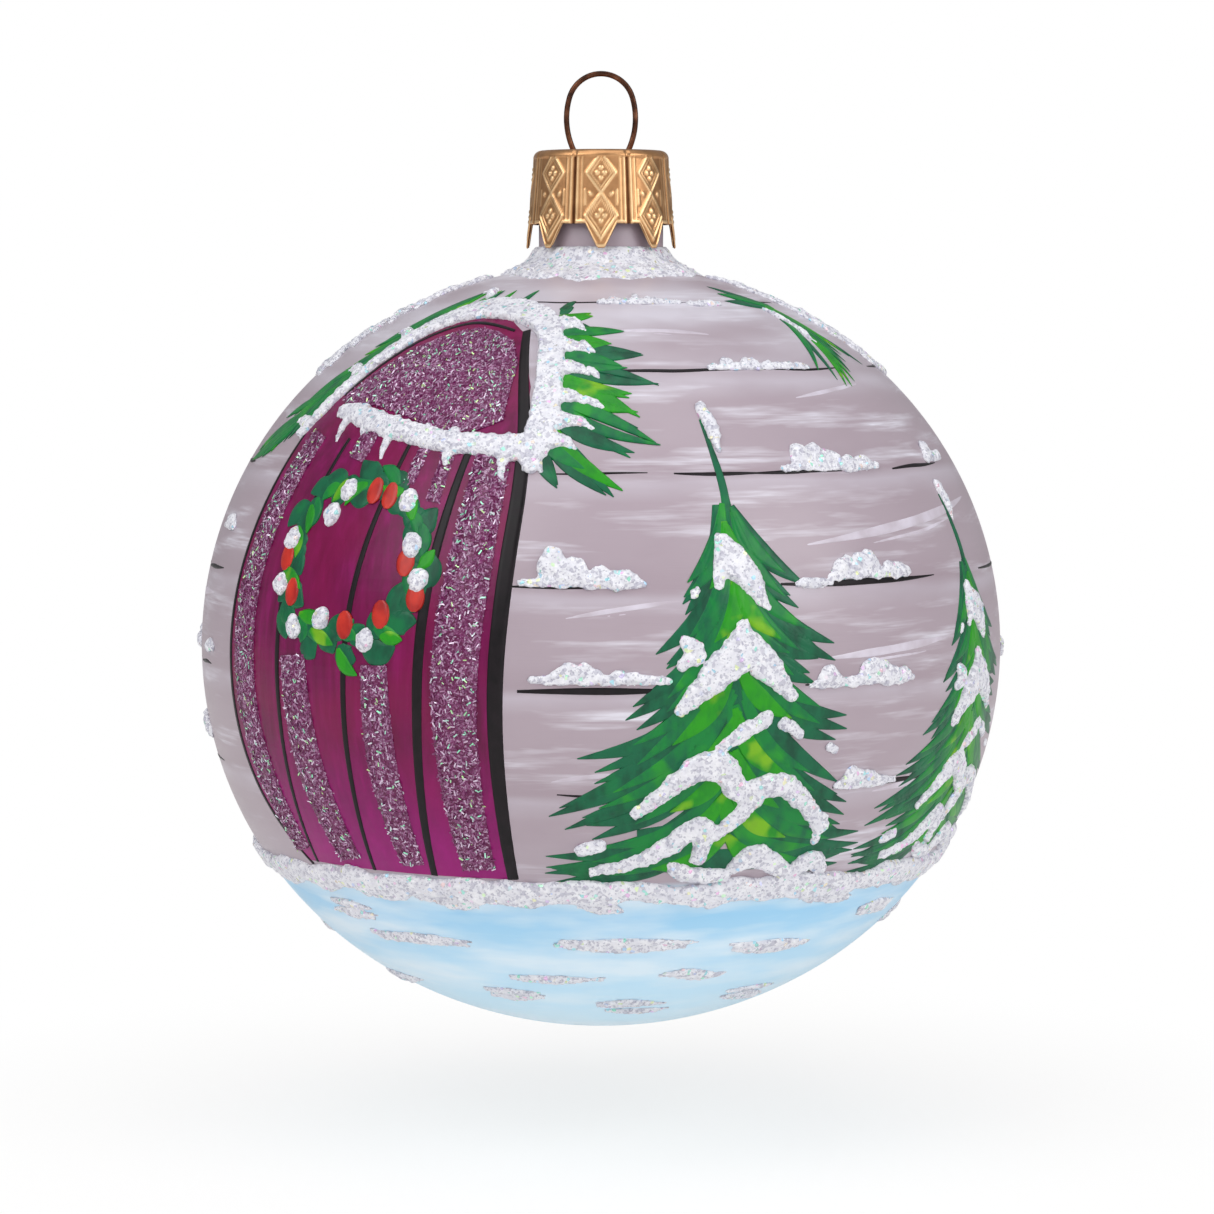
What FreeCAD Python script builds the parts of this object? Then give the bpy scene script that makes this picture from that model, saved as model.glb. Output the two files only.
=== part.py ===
import FreeCAD, Part
import math
import os
import Sketcher

# A hand-painted blown-glass ball ornament, hung by a wire loop from a stamped metal cap.
#
# Three rigid groups make it up: the bent wire hanger, the eight-toothed cap that the wire carries,
# and the hollow glass ball with the raised snow paste and glitter gel laid on it.
# Every piece is drawn about the centre of the ball, +Z up, with its painted front towards -Y, and is
# then lowered so that the origin is the point inside the top of the loop where a hook bears.
# Azimuths are in degrees about +Z, 0 at the front and positive towards +X. Latitudes are in degrees,
# 0 at the equator and 90 at the ball's upper pole. All else is in millimetres.

SIZES = [
    # the blown ball
    ("ball_radius", 40.0, "equator radius of the glass"),
    ("ball_half_height", 38.2, "centre to the bottom pole"),
    ("glass_wall", 0.7, "wall of the blown glass"),
    ("neck_radius", 6.2, "outside of the neck"),
    ("neck_root", 2.0, "radius where the neck runs into the ball"),
    ("neck_rise", 9.45, "straight part of the neck, from its root to the rim"),
    # the stamped cap
    ("cap_wall", 0.3, "sheet of the cap"),
    ("cap_seat", 0.05, "gap between the rim of the neck and the cap"),
    ("cap_clearance", 0.25, "gap between the neck and the skirt"),
    ("cap_corner", 0.8, "outside corner of the cap's top"),
    ("cap_flare", 0.75, "how much wider the skirt is at the teeth"),
    ("cap_height", 9.7, "top of the cap to the points of its teeth"),
    ("cap_edge", 7.3, "top of the cap to the straight edge between teeth"),
    ("tooth_width", 3.1, "a tooth at its root"),
    ("tooth_point", 0.7, "a tooth at its blunt point"),
    ("tooth_count", 8, "panels and teeth round the cap"),
    # the wire hanger
    ("wire_radius", 0.275, "the spring wire"),
    ("loop_rise", 7.63, "cap top to the wire's centre at the top of the loop"),
    ("loop_waist", 3.2, "cap top to the widest place of the loop"),
    ("loop_half_width", 3.43, "centreline at the widest place"),
    ("loop_foot", 2.7, "centreline where the wire enters the cap"),
    ("bend_radius", 1.5, "bend under the cap"),
    ("leg_length", 15.4, "cap top to the end of a straight leg"),
    ("leg_clearance", 0.08, "gap between a leg and the neck"),
    ("foot_drop", 2.8, "height of the out-turned foot"),
    ("foot_spread", 0.85, "how far the foot turns out"),
    ("foot_bend", 1.5, "bend between leg and foot"),
    ("pull_travel", 3.0, "how far the loop pulls up through the cap"),
    ("slot_clearance", 0.15, "gap between the wire and its slot"),
    # the raised snow paste and the glitter gel
    ("paste_depth", 0.7, "snow paste, proud of the glass"),
    ("gel_depth", 0.3, "glitter gel, proud of the glass"),
    ("collar_width", 4.9, "snow collar, out from the neck over the shoulder"),
    ("collar_gap", 0.3, "gap between the collar and the teeth"),
    ("ground_top", -29.5, "latitude of the snow line's upper edge"),
    ("ground_bottom", -34.8, "latitude of the snow line's lower edge"),
    # the front door and the back window
    ("door_azimuth", -34.0, "azimuth of the middle of the door"),
    ("door_half_width", 14.2, "outside of the arch's snow"),
    ("arch_foot", 34.1, "latitude of the bottom of the snow bar under the arch"),
    ("arch_spring", 42.9, "latitude where the arch starts to curve"),
    ("arch_top", 63.5, "latitude of the arch's outside top"),
    ("arch_snow", 2.2, "width of the snow on the arch"),
    ("wreath_azimuth", -37.0, "azimuth of the middle of the wreath"),
    ("wreath_latitude", 14.6, "latitude of the middle of the wreath"),
    ("wreath_radius", 7.6, "ring of the wreath's pearls"),
    ("pearl_radius", 0.75, "a pearl of snow paste on the wreath"),
    ("pearl_count", 10, "pearls on the wreath"),
    ("window_azimuth", 136.0, "azimuth of the middle of the back window"),
    ("window_half_width", 12.0, "outside of the window's snow"),
    ("window_foot", 1.5, "latitude of the bottom of the snow on the sill"),
    ("window_spring", 23.1, "latitude where the window's arch starts to curve"),
    ("window_top", 46.0, "latitude of the window's outside top"),
    ("sill_snow", 2.4, "width of the snow on the window"),
]

# Dabs of snow paste by place: (azimuth, latitude, width, height of the dab).
LEDGE_DABS = {
    "eave": [(11, 65.6, 6.5, 1.4), (33, 64.9, 3.2, 1.1), (150, 64.2, 6.0, 1.3), (-118, 64.6, 5.5, 1.4)],
    "top_log": [(34, 50.3, 9.0, 2.2), (-108, 49.9, 7.5, 2.0), (176, 50.1, 7.0, 2.0)],
    "second_log": [(36, 31.4, 10.5, 2.6), (68, 32.6, 3.6, 2.4), (-73, 21.0, 2.4, 3.4),
                   (-122, 31.2, 8.5, 2.4)],
    "third_log": [(-3, 15.8, 9.5, 3.6), (30, 13.6, 3.0, 1.2), (39, 15.5, 8.0, 2.4), (-128, 14.6, 8.0, 2.6)],
    "fourth_log": [(0, 1.2, 9.0, 2.0), (37, -0.9, 10.0, 3.0), (-90, 1.5, 6.0, 3.0), (-140, 0.6, 9.0, 2.4),
                   (90, 0.9, 7.0, 2.4)],
    "fifth_log": [(40, -14.9, 5.6, 2.2), (-84, -11.3, 4.5, 3.2), (-152, -14.6, 7.0, 2.4),
                  (158, -14.9, 6.0, 2.2)],
}
# Dabs on each fir: its azimuth, then (offset sideways, latitude, width, height of the dab).
TREE_DABS = {
    "front": (19, [(0.3, 38.9, 1.9, 3.4), (0.9, 16.1, 4.6, 5.4), (1.2, 0.6, 10.0, 4.2), (1.8, -7.5, 7.0, 1.8),
                   (0.2, -17.4, 16.0, 4.4), (-4.5, -26.4, 15.0, 3.0), (8.0, -26.1, 9.0, 2.6)]),
    "right": (64, [(-1.2, 24.4, 1.6, 3.4), (0.4, 6.9, 2.8, 5.0), (0.8, -8.1, 4.4, 4.0),
                   (0.2, -16.7, 6.4, 3.0), (0.0, -24.4, 8.0, 3.0)]),
    "back_left": (-104, [(0.2, 21.5, 1.8, 3.0), (0.6, 5.1, 5.0, 4.4), (0.2, -9.6, 8.6, 3.6),
                         (-0.8, -22.5, 12.0, 3.2)]),
    "back_right": (178, [(0.2, 28.1, 1.8, 3.0), (0.6, 10.9, 5.0, 4.4), (0.4, -5.4, 9.0, 3.6),
                         (-0.6, -19.9, 13.0, 3.4)]),
}
DRIFT_DABS = [(-32, -45.0, 12.0, 1.4), (-50, -38.2, 5.0, 1.2), (8, -43.3, 14.0, 1.6),
              (36, -45.4, 10.0, 1.4), (-4, -52.7, 12.0, 1.2), (86, -43.7, 12.0, 1.5),
              (132, -42.5, 10.0, 1.5), (178, -45.0, 13.0, 1.5), (-128, -43.3, 12.0, 1.5),
              (-86, -48.5, 9.0, 1.3), (44, -61.6, 7.0, 1.3), (-160, -58.6, 8.0, 1.3)]
# Glitter gel on the door's planks: (azimuth from the door's middle, latitudes of
# bottom and top, width).
GEL_STRIPS = [(-23.0, -26.4, 30.8, 2.6), (-11.0, -27.4, 1.5, 3.2), (3.8, -27.8, -1.8, 3.0),
              (14.4, -27.8, 31.6, 4.0)]
# The sprigs of pine beside the arch carry small dabs of their own.
SPRIG_DABS = [(-2.5, 51.8, 2.6, 0.9), (-1.0, 43.3, 2.6, 1.2), (-2.0, 34.8, 3.4, 1.8), (62, 54.8, 1.6, 2.2),
              (72, 58.6, 5.0, 1.0)]

doc = FreeCAD.newDocument("ball_ornament")
sheet = doc.addObject("Spreadsheet::Sheet", "Sizes")
filled_rows = 0
parts = []


def add_size(alias, value, note):
    """One row of the sheet: the note, the plain number and the alias that the features read."""
    global filled_rows
    filled_rows += 1
    sheet.set(f"A{filled_rows}", note)
    sheet.set(f"B{filled_rows}", str(value))
    sheet.setAlias(f"B{filled_rows}", alias)


for size_row in SIZES:
    add_size(*size_row)
doc.recompute()


def size(alias):
    return float(sheet.get(alias))


def tangent_point(centre, radius, end):
    """Where a line from a circle to a point leaves the circle, on the side nearer the axis."""
    across, up = end[0] - centre[0], end[1] - centre[1]
    spread = math.acos(radius / math.hypot(across, up))
    aim = math.atan2(up, across)
    return min((centre[0] + radius * math.cos(a), centre[1] + radius * math.sin(a), a)
               for a in (aim + spread, aim - spread))


# Sizes that follow from the driving ones.
OVAL_SHARE = 0.39  # how the ball's roundness is split between its side arc and its pole arcs
flattening = size("ball_radius") - size("ball_half_height")
side_arc = size("ball_half_height") - OVAL_SHARE * flattening
pole_arc = size("ball_half_height") + flattening * (1 + 2 * OVAL_SHARE) / (2 * OVAL_SHARE)
side_centre = size("ball_radius") - side_arc
pole_drop = pole_arc - size("ball_half_height")
join_angle = math.atan2((1 + 2 * OVAL_SHARE) / (2 * OVAL_SHARE), 1 + OVAL_SHARE)
root_reach = size("neck_radius") + size("neck_root")
root_height = math.sqrt((pole_arc + size("neck_root")) ** 2 - root_reach ** 2) - pole_drop
neck_rim = root_height + size("neck_rise")
cap_radius = size("neck_radius") + size("cap_clearance") + size("cap_wall")
# The rim's edge stands under the cap's inside corner, so the cap sits higher by that corner's curve.
corner_inside = size("cap_corner") - size("cap_wall")
rim_in_corner = max(0.0, size("neck_radius") - (cap_radius - size("cap_corner")))
corner_drop = corner_inside - math.sqrt(corner_inside ** 2 - rim_in_corner ** 2)
cap_top = neck_rim + corner_drop + size("cap_seat") + size("cap_wall")
hook_point = cap_top + size("loop_rise") - size("wire_radius")
leg_reach = size("neck_radius") - size("glass_wall") - size("leg_clearance") - size("wire_radius")

# The loop is a crown arc and two side arcs. Each side arc runs through its cap slot into a bend the
# other way, which the straight leg leaves at a tangent. Heights here are from the top of the cap.
narrowing = size("loop_half_width") - size("loop_foot")
loop_arc = (narrowing ** 2 + size("loop_waist") ** 2) / (2 * narrowing)
loop_middle = size("loop_half_width") - loop_arc
above_waist = size("loop_rise") - size("loop_waist")
crown_arc = (loop_middle ** 2 + above_waist ** 2 - loop_arc ** 2) / (2 * (above_waist - loop_arc))
crown_middle = above_waist - crown_arc
crown_lean = math.atan2(crown_middle, -loop_middle)
entry_lean = math.asin(-size("loop_waist") / loop_arc)
bend_reach = loop_arc + size("bend_radius")
bend_middle = (loop_middle + bend_reach * math.cos(entry_lean),
               size("loop_waist") + bend_reach * math.sin(entry_lean))
leg_start = tangent_point(bend_middle, size("bend_radius"), (leg_reach, -size("leg_length")))

for derived_row in [
    ("side_arc", side_arc, "radius of the ball's side"),
    ("pole_arc", pole_arc, "radius of the ball's top and bottom"),
    ("neck_rim", neck_rim, "ball's centre to the rim of the neck"),
    ("cap_top", cap_top, "ball's centre to the top of the cap"),
    ("cap_radius", cap_radius, "outside of the cap under its corner"),
    ("hook_point", hook_point, "ball's centre to the point where a hook bears"),
    ("leg_reach", leg_reach, "axis to the centreline of a straight leg's end"),
]:
    add_size(*derived_row)
doc.recompute()


def height_at(latitude):
    """Height above the ball's centre of a latitude on the glass."""
    return size("ball_half_height") * math.sin(math.radians(latitude))


def new_body(label, turn=0.0):
    body = doc.addObject("PartDesign::Body", label)
    body.Label = label
    body.Placement = FreeCAD.Placement(FreeCAD.Vector(), FreeCAD.Rotation(FreeCAD.Vector(0, 0, 1), turn))
    return body


def new_sketch(body, name, role="XZ_Plane"):
    """A sketch on one of the body's own origin planes."""
    sketch = body.newObject("Sketcher::SketchObject", name)
    plane = next(p for p in body.Origin.OriginFeatures if p.Role == role)
    sketch.AttachmentSupport = [(plane, "")]
    sketch.MapMode = "FlatFace"
    return sketch


def point(across, up):
    return FreeCAD.Vector(across, up, 0)


def add_line(sketch, start, end):
    return sketch.addGeometry(Part.LineSegment(point(*start), point(*end)), False)


def add_arc(sketch, centre, radius, start_angle, end_angle):
    circle = Part.Circle(point(*centre), FreeCAD.Vector(0, 0, 1), radius)
    return sketch.addGeometry(Part.ArcOfCircle(circle, start_angle, end_angle), False)


def tie(sketch, kind, *where):
    return sketch.addConstraint(Sketcher.Constraint(kind, *where))


def bind(sketch, kind, where, value, expression):
    """A dimension whose value comes from the sheet."""
    number = sketch.addConstraint(Sketcher.Constraint(kind, *where, value))
    sketch.setExpression(f"Constraints[{number}]", expression)


def draw_outline(sketch, corners):
    """A closed outline of straight lines."""
    lines = [add_line(sketch, corners[i - 1], corners[i]) for i in range(len(corners))]
    for i in range(len(lines)):
        tie(sketch, "Coincident", lines[i - 1], 2, lines[i], 1)
    return lines


def revolve(body, sketch, name, angle=360.0):
    turned = body.newObject("PartDesign::Revolution", name)
    turned.Profile = sketch
    turned.ReferenceAxis = (sketch, ["V_Axis"])
    turned.Angle = angle
    body.Tip = turned
    doc.recompute()
    return turned


def draw_ball(sketch, grow=0.0, grow_cell="0"):
    """The ball's outer half profile as three arcs, bottom pole, side and top pole. grow moves it
    outwards from the glass, and grow_cell is the same amount as the sheet's cells give it."""
    low = add_arc(sketch, (0, pole_drop), pole_arc + grow, -math.pi / 2, -join_angle)
    side = add_arc(sketch, (side_centre, 0), side_arc + grow, -join_angle, join_angle)
    top = add_arc(sketch, (0, -pole_drop), pole_arc + grow, join_angle, math.pi / 2)
    tie(sketch, "PointOnObject", low, 3, -2)
    tie(sketch, "PointOnObject", low, 1, -2)
    tie(sketch, "PointOnObject", side, 3, -1)
    tie(sketch, "PointOnObject", top, 3, -2)
    tie(sketch, "Tangent", low, 2, side, 1)
    tie(sketch, "Tangent", side, 2, top, 1)
    bind(sketch, "Radius", (low,), pole_arc + grow, f"Sizes.pole_arc + {grow_cell}")
    bind(sketch, "Radius", (side,), side_arc + grow, f"Sizes.side_arc + {grow_cell}")
    bind(sketch, "Radius", (top,), pole_arc + grow, f"Sizes.pole_arc + {grow_cell}")
    bind(sketch, "DistanceY", (-1, 1, low, 1), -size("ball_half_height") - grow,
         f"-Sizes.ball_half_height - {grow_cell}")
    return low, side, top


def make_skin_form(label, proud_cell):
    """A solid ball that stands proud of the glass, to trim paste and gel to their depth."""
    body = new_body(label)
    sketch = new_sketch(body, label + "_profile")
    low, side, top = draw_ball(sketch, size(proud_cell), f"Sizes.{proud_cell}")
    tie(sketch, "PointOnObject", top, 2, -2)
    pole = size("ball_half_height") + size(proud_cell)
    axis = add_line(sketch, (0, pole), (0, -pole))
    tie(sketch, "Coincident", top, 2, axis, 1)
    tie(sketch, "Coincident", axis, 2, low, 1)
    revolve(body, sketch, label + "_turned")
    return body


def make_blown_form(label, grow=0.0, grow_cell="0", above_rim=0.0):
    """A solid blown ball with its neck: the outside of the glass, or its hollow when grown inwards."""
    body = new_body(label)
    sketch = new_sketch(body, label + "_profile")
    low, side, top = draw_ball(sketch, grow, grow_cell)
    sketch.delGeometry(top)
    neck, root_radius, rim_height = size("neck_radius") + grow, size("neck_root") - grow, neck_rim + above_rim
    root_angle = math.atan2(root_height + pole_drop, root_reach)
    top = add_arc(sketch, (0, -pole_drop), pole_arc + grow, join_angle, root_angle)
    root = add_arc(sketch, (root_reach, root_height), root_radius, math.pi, math.pi + root_angle)
    wall = add_line(sketch, (neck, root_height), (neck, rim_height))
    rim = add_line(sketch, (neck, rim_height), (0, rim_height))
    axis = add_line(sketch, (0, rim_height), (0, -size("ball_half_height") - grow))
    tie(sketch, "PointOnObject", top, 3, -2)
    tie(sketch, "Tangent", side, 2, top, 1)
    tie(sketch, "Tangent", top, 2, root, 2)
    tie(sketch, "Tangent", root, 1, wall, 1)
    tie(sketch, "Coincident", wall, 2, rim, 1)
    tie(sketch, "Coincident", rim, 2, axis, 1)
    tie(sketch, "Coincident", axis, 2, low, 1)
    tie(sketch, "Horizontal", rim)
    tie(sketch, "PointOnObject", rim, 2, -2)
    bind(sketch, "Radius", (top,), pole_arc + grow, f"Sizes.pole_arc + {grow_cell}")
    bind(sketch, "Radius", (root,), root_radius, f"Sizes.neck_root - {grow_cell}")
    bind(sketch, "DistanceX", (-1, 1, wall, 2), neck, f"Sizes.neck_radius + {grow_cell}")
    bind(sketch, "DistanceY", (-1, 1, wall, 2), rim_height, f"Sizes.neck_rim + {above_rim}")
    revolve(body, sketch, label + "_turned")
    return body


def finish(obj, node):
    """Names a finished piece, lowers it to the hook's frame and lists it for export."""
    obj.Label = node
    obj.Placement = FreeCAD.Placement(FreeCAD.Vector(0, 0, -hook_point), obj.Placement.Rotation)
    obj.setExpression("Placement.Base.z", "-Sizes.hook_point * 1 mm")
    parts.append((node, obj))


def make_glass_ball():
    """The blown ball: its outside with a hollow of the same form taken out through the open rim."""
    outside = make_blown_form("glass_outside")
    hollow = make_blown_form("glass_hollow", -size("glass_wall"), "-Sizes.glass_wall", 1.0)
    ball = doc.addObject("Part::Cut", "blown_glass")
    ball.Base, ball.Tool = outside, hollow
    doc.recompute()
    finish(ball, "glass_ball")


def make_cap():
    """The stamped cap: a flared cup with a toothed skirt and two slots for the wire."""
    wall, corner = size("cap_wall"), size("cap_corner")
    tip = cap_radius + size("cap_flare")
    low = cap_top - size("cap_height")
    body = new_body("cap_crown_body")
    sketch = new_sketch(body, "cap_profile")
    top = add_line(sketch, (0, cap_top), (cap_radius - corner, cap_top))
    bend = add_arc(sketch, (cap_radius - corner, cap_top - corner), corner, 0, math.pi / 2)
    skirt = add_line(sketch, (cap_radius, cap_top - corner), (tip, low))
    edge = add_line(sketch, (tip, low), (tip - wall, low))
    inner_skirt = add_line(sketch, (tip - wall, low), (cap_radius - wall, cap_top - corner))
    inner_bend = add_arc(sketch, (cap_radius - corner, cap_top - corner), corner - wall, 0, math.pi / 2)
    under = add_line(sketch, (cap_radius - corner, cap_top - wall), (0, cap_top - wall))
    axis = add_line(sketch, (0, cap_top - wall), (0, cap_top))
    for first, its_end, second, second_end in [
        (top, 2, bend, 2), (bend, 1, skirt, 1), (skirt, 2, edge, 1), (edge, 2, inner_skirt, 1),
        (inner_skirt, 2, inner_bend, 1), (inner_bend, 2, under, 1), (under, 2, axis, 1), (axis, 2, top, 1),
    ]:
        tie(sketch, "Coincident", first, its_end, second, second_end)
    for line in (top, edge, under):
        tie(sketch, "Horizontal", line)
    for arc in (bend, inner_bend):
        tie(sketch, "Horizontal", arc, 3, arc, 1)
        tie(sketch, "Vertical", arc, 3, arc, 2)
    tie(sketch, "PointOnObject", top, 1, -2)
    tie(sketch, "PointOnObject", under, 2, -2)
    tie(sketch, "Coincident", bend, 3, inner_bend, 3)
    bind(sketch, "Radius", (bend,), corner, "Sizes.cap_corner")
    bind(sketch, "Radius", (inner_bend,), corner - wall, "Sizes.cap_corner - Sizes.cap_wall")
    bind(sketch, "DistanceY", (-1, 1, top, 1), cap_top, "Sizes.cap_top")
    bind(sketch, "DistanceX", (-1, 1, bend, 3), cap_radius - corner, "Sizes.cap_radius - Sizes.cap_corner")
    bind(sketch, "DistanceX", (-1, 1, skirt, 2), tip, "Sizes.cap_radius + Sizes.cap_flare")
    bind(sketch, "DistanceY", (-1, 1, skirt, 2), low, "Sizes.cap_top - Sizes.cap_height")
    bind(sketch, "DistanceX", (edge, 2, edge, 1), wall, "Sizes.cap_wall")
    revolve(body, sketch, "cup")
    cut_teeth(body)
    cut_wire_slots(body)
    finish(body, "cap_crown")


def cut_teeth(body):
    """Takes out the gap between two teeth and repeats it round the skirt."""
    count = size("tooth_count")
    pitch_half = (cap_radius + size("cap_flare")) * math.sin(math.pi / count)
    root = pitch_half - size("tooth_width") / 2
    point_half = pitch_half - size("tooth_point") / 2
    high, low = cap_top - size("cap_edge"), cap_top - size("cap_height")
    below = low - size("cap_wall")
    gap = new_sketch(body, "tooth_gap")
    gap.AttachmentOffset = FreeCAD.Placement(
        FreeCAD.Vector(), FreeCAD.Rotation(FreeCAD.Vector(0, 1, 0), 180 / count))
    draw_outline(gap, [(-point_half, below), (-point_half, low), (-root, high),
                       (root, high), (point_half, low), (point_half, below)])
    doc.recompute()
    whole = body.Tip.Shape.Volume
    cut = body.newObject("PartDesign::Pocket", "gap")
    cut.Profile = gap
    cut.Reversed = True
    cut.setExpression("Length", "Sizes.cap_radius * 2 * 1 mm")
    body.Tip = cut
    doc.recompute()
    assert cut.Shape.Volume < whole, "the gap between the teeth cuts nothing"
    ring = body.newObject("PartDesign::PolarPattern", "all_gaps")
    ring.Originals = [cut]
    ring.Axis = (next(a for a in body.Origin.OriginFeatures if a.Role == "Z_Axis"), [""])
    ring.Angle = 360
    ring.Occurrences = int(count)
    body.Tip = ring
    doc.recompute()


def cut_wire_slots(body):
    """Two slots in the top, long enough for the wire to shift sideways as the loop is pulled up."""
    half = size("wire_radius") + size("slot_clearance")
    leg_slope = (leg_reach - leg_start[0]) / (size("leg_length") + leg_start[1])
    inner = bend_middle[0] - size("bend_radius")
    outer = max(size("loop_foot"), leg_start[0] + leg_slope * (size("pull_travel") + leg_start[1]))
    slots = new_sketch(body, "wire_slots", "XY_Plane")
    slots.AttachmentOffset = FreeCAD.Placement(FreeCAD.Vector(0, 0, cap_top), FreeCAD.Rotation())
    slots.setExpression("AttachmentOffset.Base.z", "Sizes.cap_top * 1 mm")
    for side in (1, -1):
        near, far = sorted((side * inner, side * outer))
        above = add_line(slots, (near, half), (far, half))
        right = add_arc(slots, (far, 0), half, -math.pi / 2, math.pi / 2)
        below = add_line(slots, (far, -half), (near, -half))
        left = add_arc(slots, (near, 0), half, math.pi / 2, 3 * math.pi / 2)
        tie(slots, "Coincident", above, 2, right, 2)
        tie(slots, "Coincident", right, 1, below, 1)
        tie(slots, "Coincident", below, 2, left, 2)
        tie(slots, "Coincident", left, 1, above, 1)
        bind(slots, "Radius", (right,), half, "Sizes.wire_radius + Sizes.slot_clearance")
    doc.recompute()
    whole = body.Tip.Shape.Volume
    cut = body.newObject("PartDesign::Pocket", "slots")
    cut.Profile = slots
    cut.setExpression("Length", "Sizes.cap_wall * 2 * 1 mm")
    body.Tip = cut
    doc.recompute()
    assert cut.Shape.Volume < whole, "the wire's slots cut nothing"


def make_hanger():
    """The hanger: one wire from the top of the loop down one side, bent under the cap into a
    straight spring leg with an out-turned foot, then mirrored."""
    body = new_body("hanger_wire_body")
    path = new_sketch(body, "half_path")
    base = cap_top
    top_arc = add_arc(path, (0, base + size("loop_waist") + crown_middle), crown_arc, crown_lean, math.pi / 2)
    side_arc_line = add_arc(path, (loop_middle, base + size("loop_waist")), loop_arc, entry_lean, crown_lean)
    bend = size("bend_radius")
    leave, leg_end = (leg_start[0], leg_start[1] + base), (leg_reach, base - size("leg_length"))
    bend_centre = (bend_middle[0], bend_middle[1] + base)
    bend_arc = add_arc(path, bend_centre, bend, entry_lean + math.pi, leg_start[2] % (2 * math.pi))
    foot_end = (leg_reach + size("foot_spread"), leg_end[1] - size("foot_drop"))
    leg_aim = math.atan2(leg_end[1] - leave[1], leg_end[0] - leave[0])
    foot_aim = math.atan2(foot_end[1] - leg_end[1], foot_end[0] - leg_end[0])
    turn = foot_aim - leg_aim
    reach = size("foot_bend") * math.tan(turn / 2)
    leg_stop = (leg_end[0] - reach * math.cos(leg_aim), leg_end[1] - reach * math.sin(leg_aim))
    foot_start = (leg_end[0] + reach * math.cos(foot_aim), leg_end[1] + reach * math.sin(foot_aim))
    knee = (leg_stop[0] - size("foot_bend") * math.sin(leg_aim),
            leg_stop[1] + size("foot_bend") * math.cos(leg_aim))
    leg = add_line(path, leave, leg_stop)
    foot_arc = add_arc(path, knee, size("foot_bend"), leg_aim - math.pi / 2, foot_aim - math.pi / 2)
    foot_line = add_line(path, foot_start, foot_end)
    tie(path, "PointOnObject", top_arc, 3, -2)
    tie(path, "PointOnObject", top_arc, 2, -2)
    tie(path, "Tangent", top_arc, 1, side_arc_line, 2)
    tie(path, "Tangent", side_arc_line, 1, bend_arc, 1)
    tie(path, "Tangent", bend_arc, 2, leg, 1)
    tie(path, "Tangent", leg, 2, foot_arc, 1)
    tie(path, "Tangent", foot_arc, 2, foot_line, 1)
    bind(path, "DistanceY", (-1, 1, top_arc, 2), base + size("loop_rise"), "Sizes.cap_top + Sizes.loop_rise")
    bind(path, "DistanceY", (-1, 1, side_arc_line, 3), base + size("loop_waist"),
         "Sizes.cap_top + Sizes.loop_waist")
    bind(path, "Radius", (bend_arc,), bend, "Sizes.bend_radius")
    bind(path, "Radius", (foot_arc,), size("foot_bend"), "Sizes.foot_bend")
    bind(path, "DistanceX", (-1, 1, foot_line, 2), foot_end[0], "Sizes.leg_reach + Sizes.foot_spread")
    bind(path, "DistanceY", (-1, 1, foot_line, 2), foot_end[1],
         "Sizes.cap_top - Sizes.leg_length - Sizes.foot_drop")
    section = new_sketch(body, "wire_section", "YZ_Plane")
    ring = section.addGeometry(
        Part.Circle(point(0, base + size("loop_rise")), FreeCAD.Vector(0, 0, 1), size("wire_radius")), False)
    tie(section, "PointOnObject", ring, 3, -2)
    bind(section, "Radius", (ring,), size("wire_radius"), "Sizes.wire_radius")
    bind(section, "DistanceY", (-1, 1, ring, 3), base + size("loop_rise"), "Sizes.cap_top + Sizes.loop_rise")
    doc.recompute()
    pipe = body.newObject("PartDesign::AdditivePipe", "half_wire")
    pipe.Profile = section
    pipe.Spine = path
    body.Tip = pipe
    doc.recompute()
    other_half = body.newObject("PartDesign::Mirrored", "whole_wire")
    other_half.Originals = [pipe]
    other_half.MirrorPlane = (next(p for p in body.Origin.OriginFeatures if p.Role == "YZ_Plane"), [""])
    body.Tip = other_half
    doc.recompute()
    finish(body, "hanger_wire")


def trim_to_skin(node, blank, form, skin):
    """Keeps what of a blank lies in the skin between the glass and the form outside it."""
    inside = doc.addObject("Part::Common", node + "_in_form")
    inside.Base, inside.Tool = blank, form
    piece = doc.addObject("Part::Cut", node + "_skin")
    piece.Base, piece.Tool = inside, skin
    doc.recompute()
    finish(piece, node)
    return piece


def draw_slot(sketch, across, up, width, depth):
    """A dab's outline: a slot with round ends."""
    half = depth / 2
    run = max(width - depth, 0.1) / 2
    above = add_line(sketch, (across - run, up + half), (across + run, up + half))
    right = add_arc(sketch, (across + run, up), half, -math.pi / 2, math.pi / 2)
    below = add_line(sketch, (across + run, up - half), (across - run, up - half))
    left = add_arc(sketch, (across - run, up), half, math.pi / 2, 3 * math.pi / 2)
    tie(sketch, "Coincident", above, 2, right, 2)
    tie(sketch, "Coincident", right, 1, below, 1)
    tie(sketch, "Coincident", below, 2, left, 2)
    tie(sketch, "Coincident", left, 1, above, 1)


def pad_outwards(body, sketch, name):
    """Pads a sketch on the XZ plane out past the front of the ball."""
    pad = body.newObject("PartDesign::Pad", name)
    pad.Profile = sketch
    pad.setExpression("Length", "(Sizes.ball_radius + 5) * 1 mm")
    body.Tip = pad
    doc.recompute()
    return pad


def dab_blank(name, azimuth, across, up, width, depth):
    """A bar that faces an azimuth, to be trimmed to a dab of paste."""
    body = new_body(name + "_bar", azimuth)
    sketch = new_sketch(body, name + "_outline")
    if depth > width:
        draw_slot(sketch, up, -across, depth, width)
        upright = FreeCAD.Rotation(FreeCAD.Vector(0, 0, 1), 90)
        sketch.AttachmentOffset = FreeCAD.Placement(FreeCAD.Vector(), upright)
    else:
        draw_slot(sketch, across, up, width, depth)
    pad_outwards(body, sketch, name + "_pad")
    return body


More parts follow.
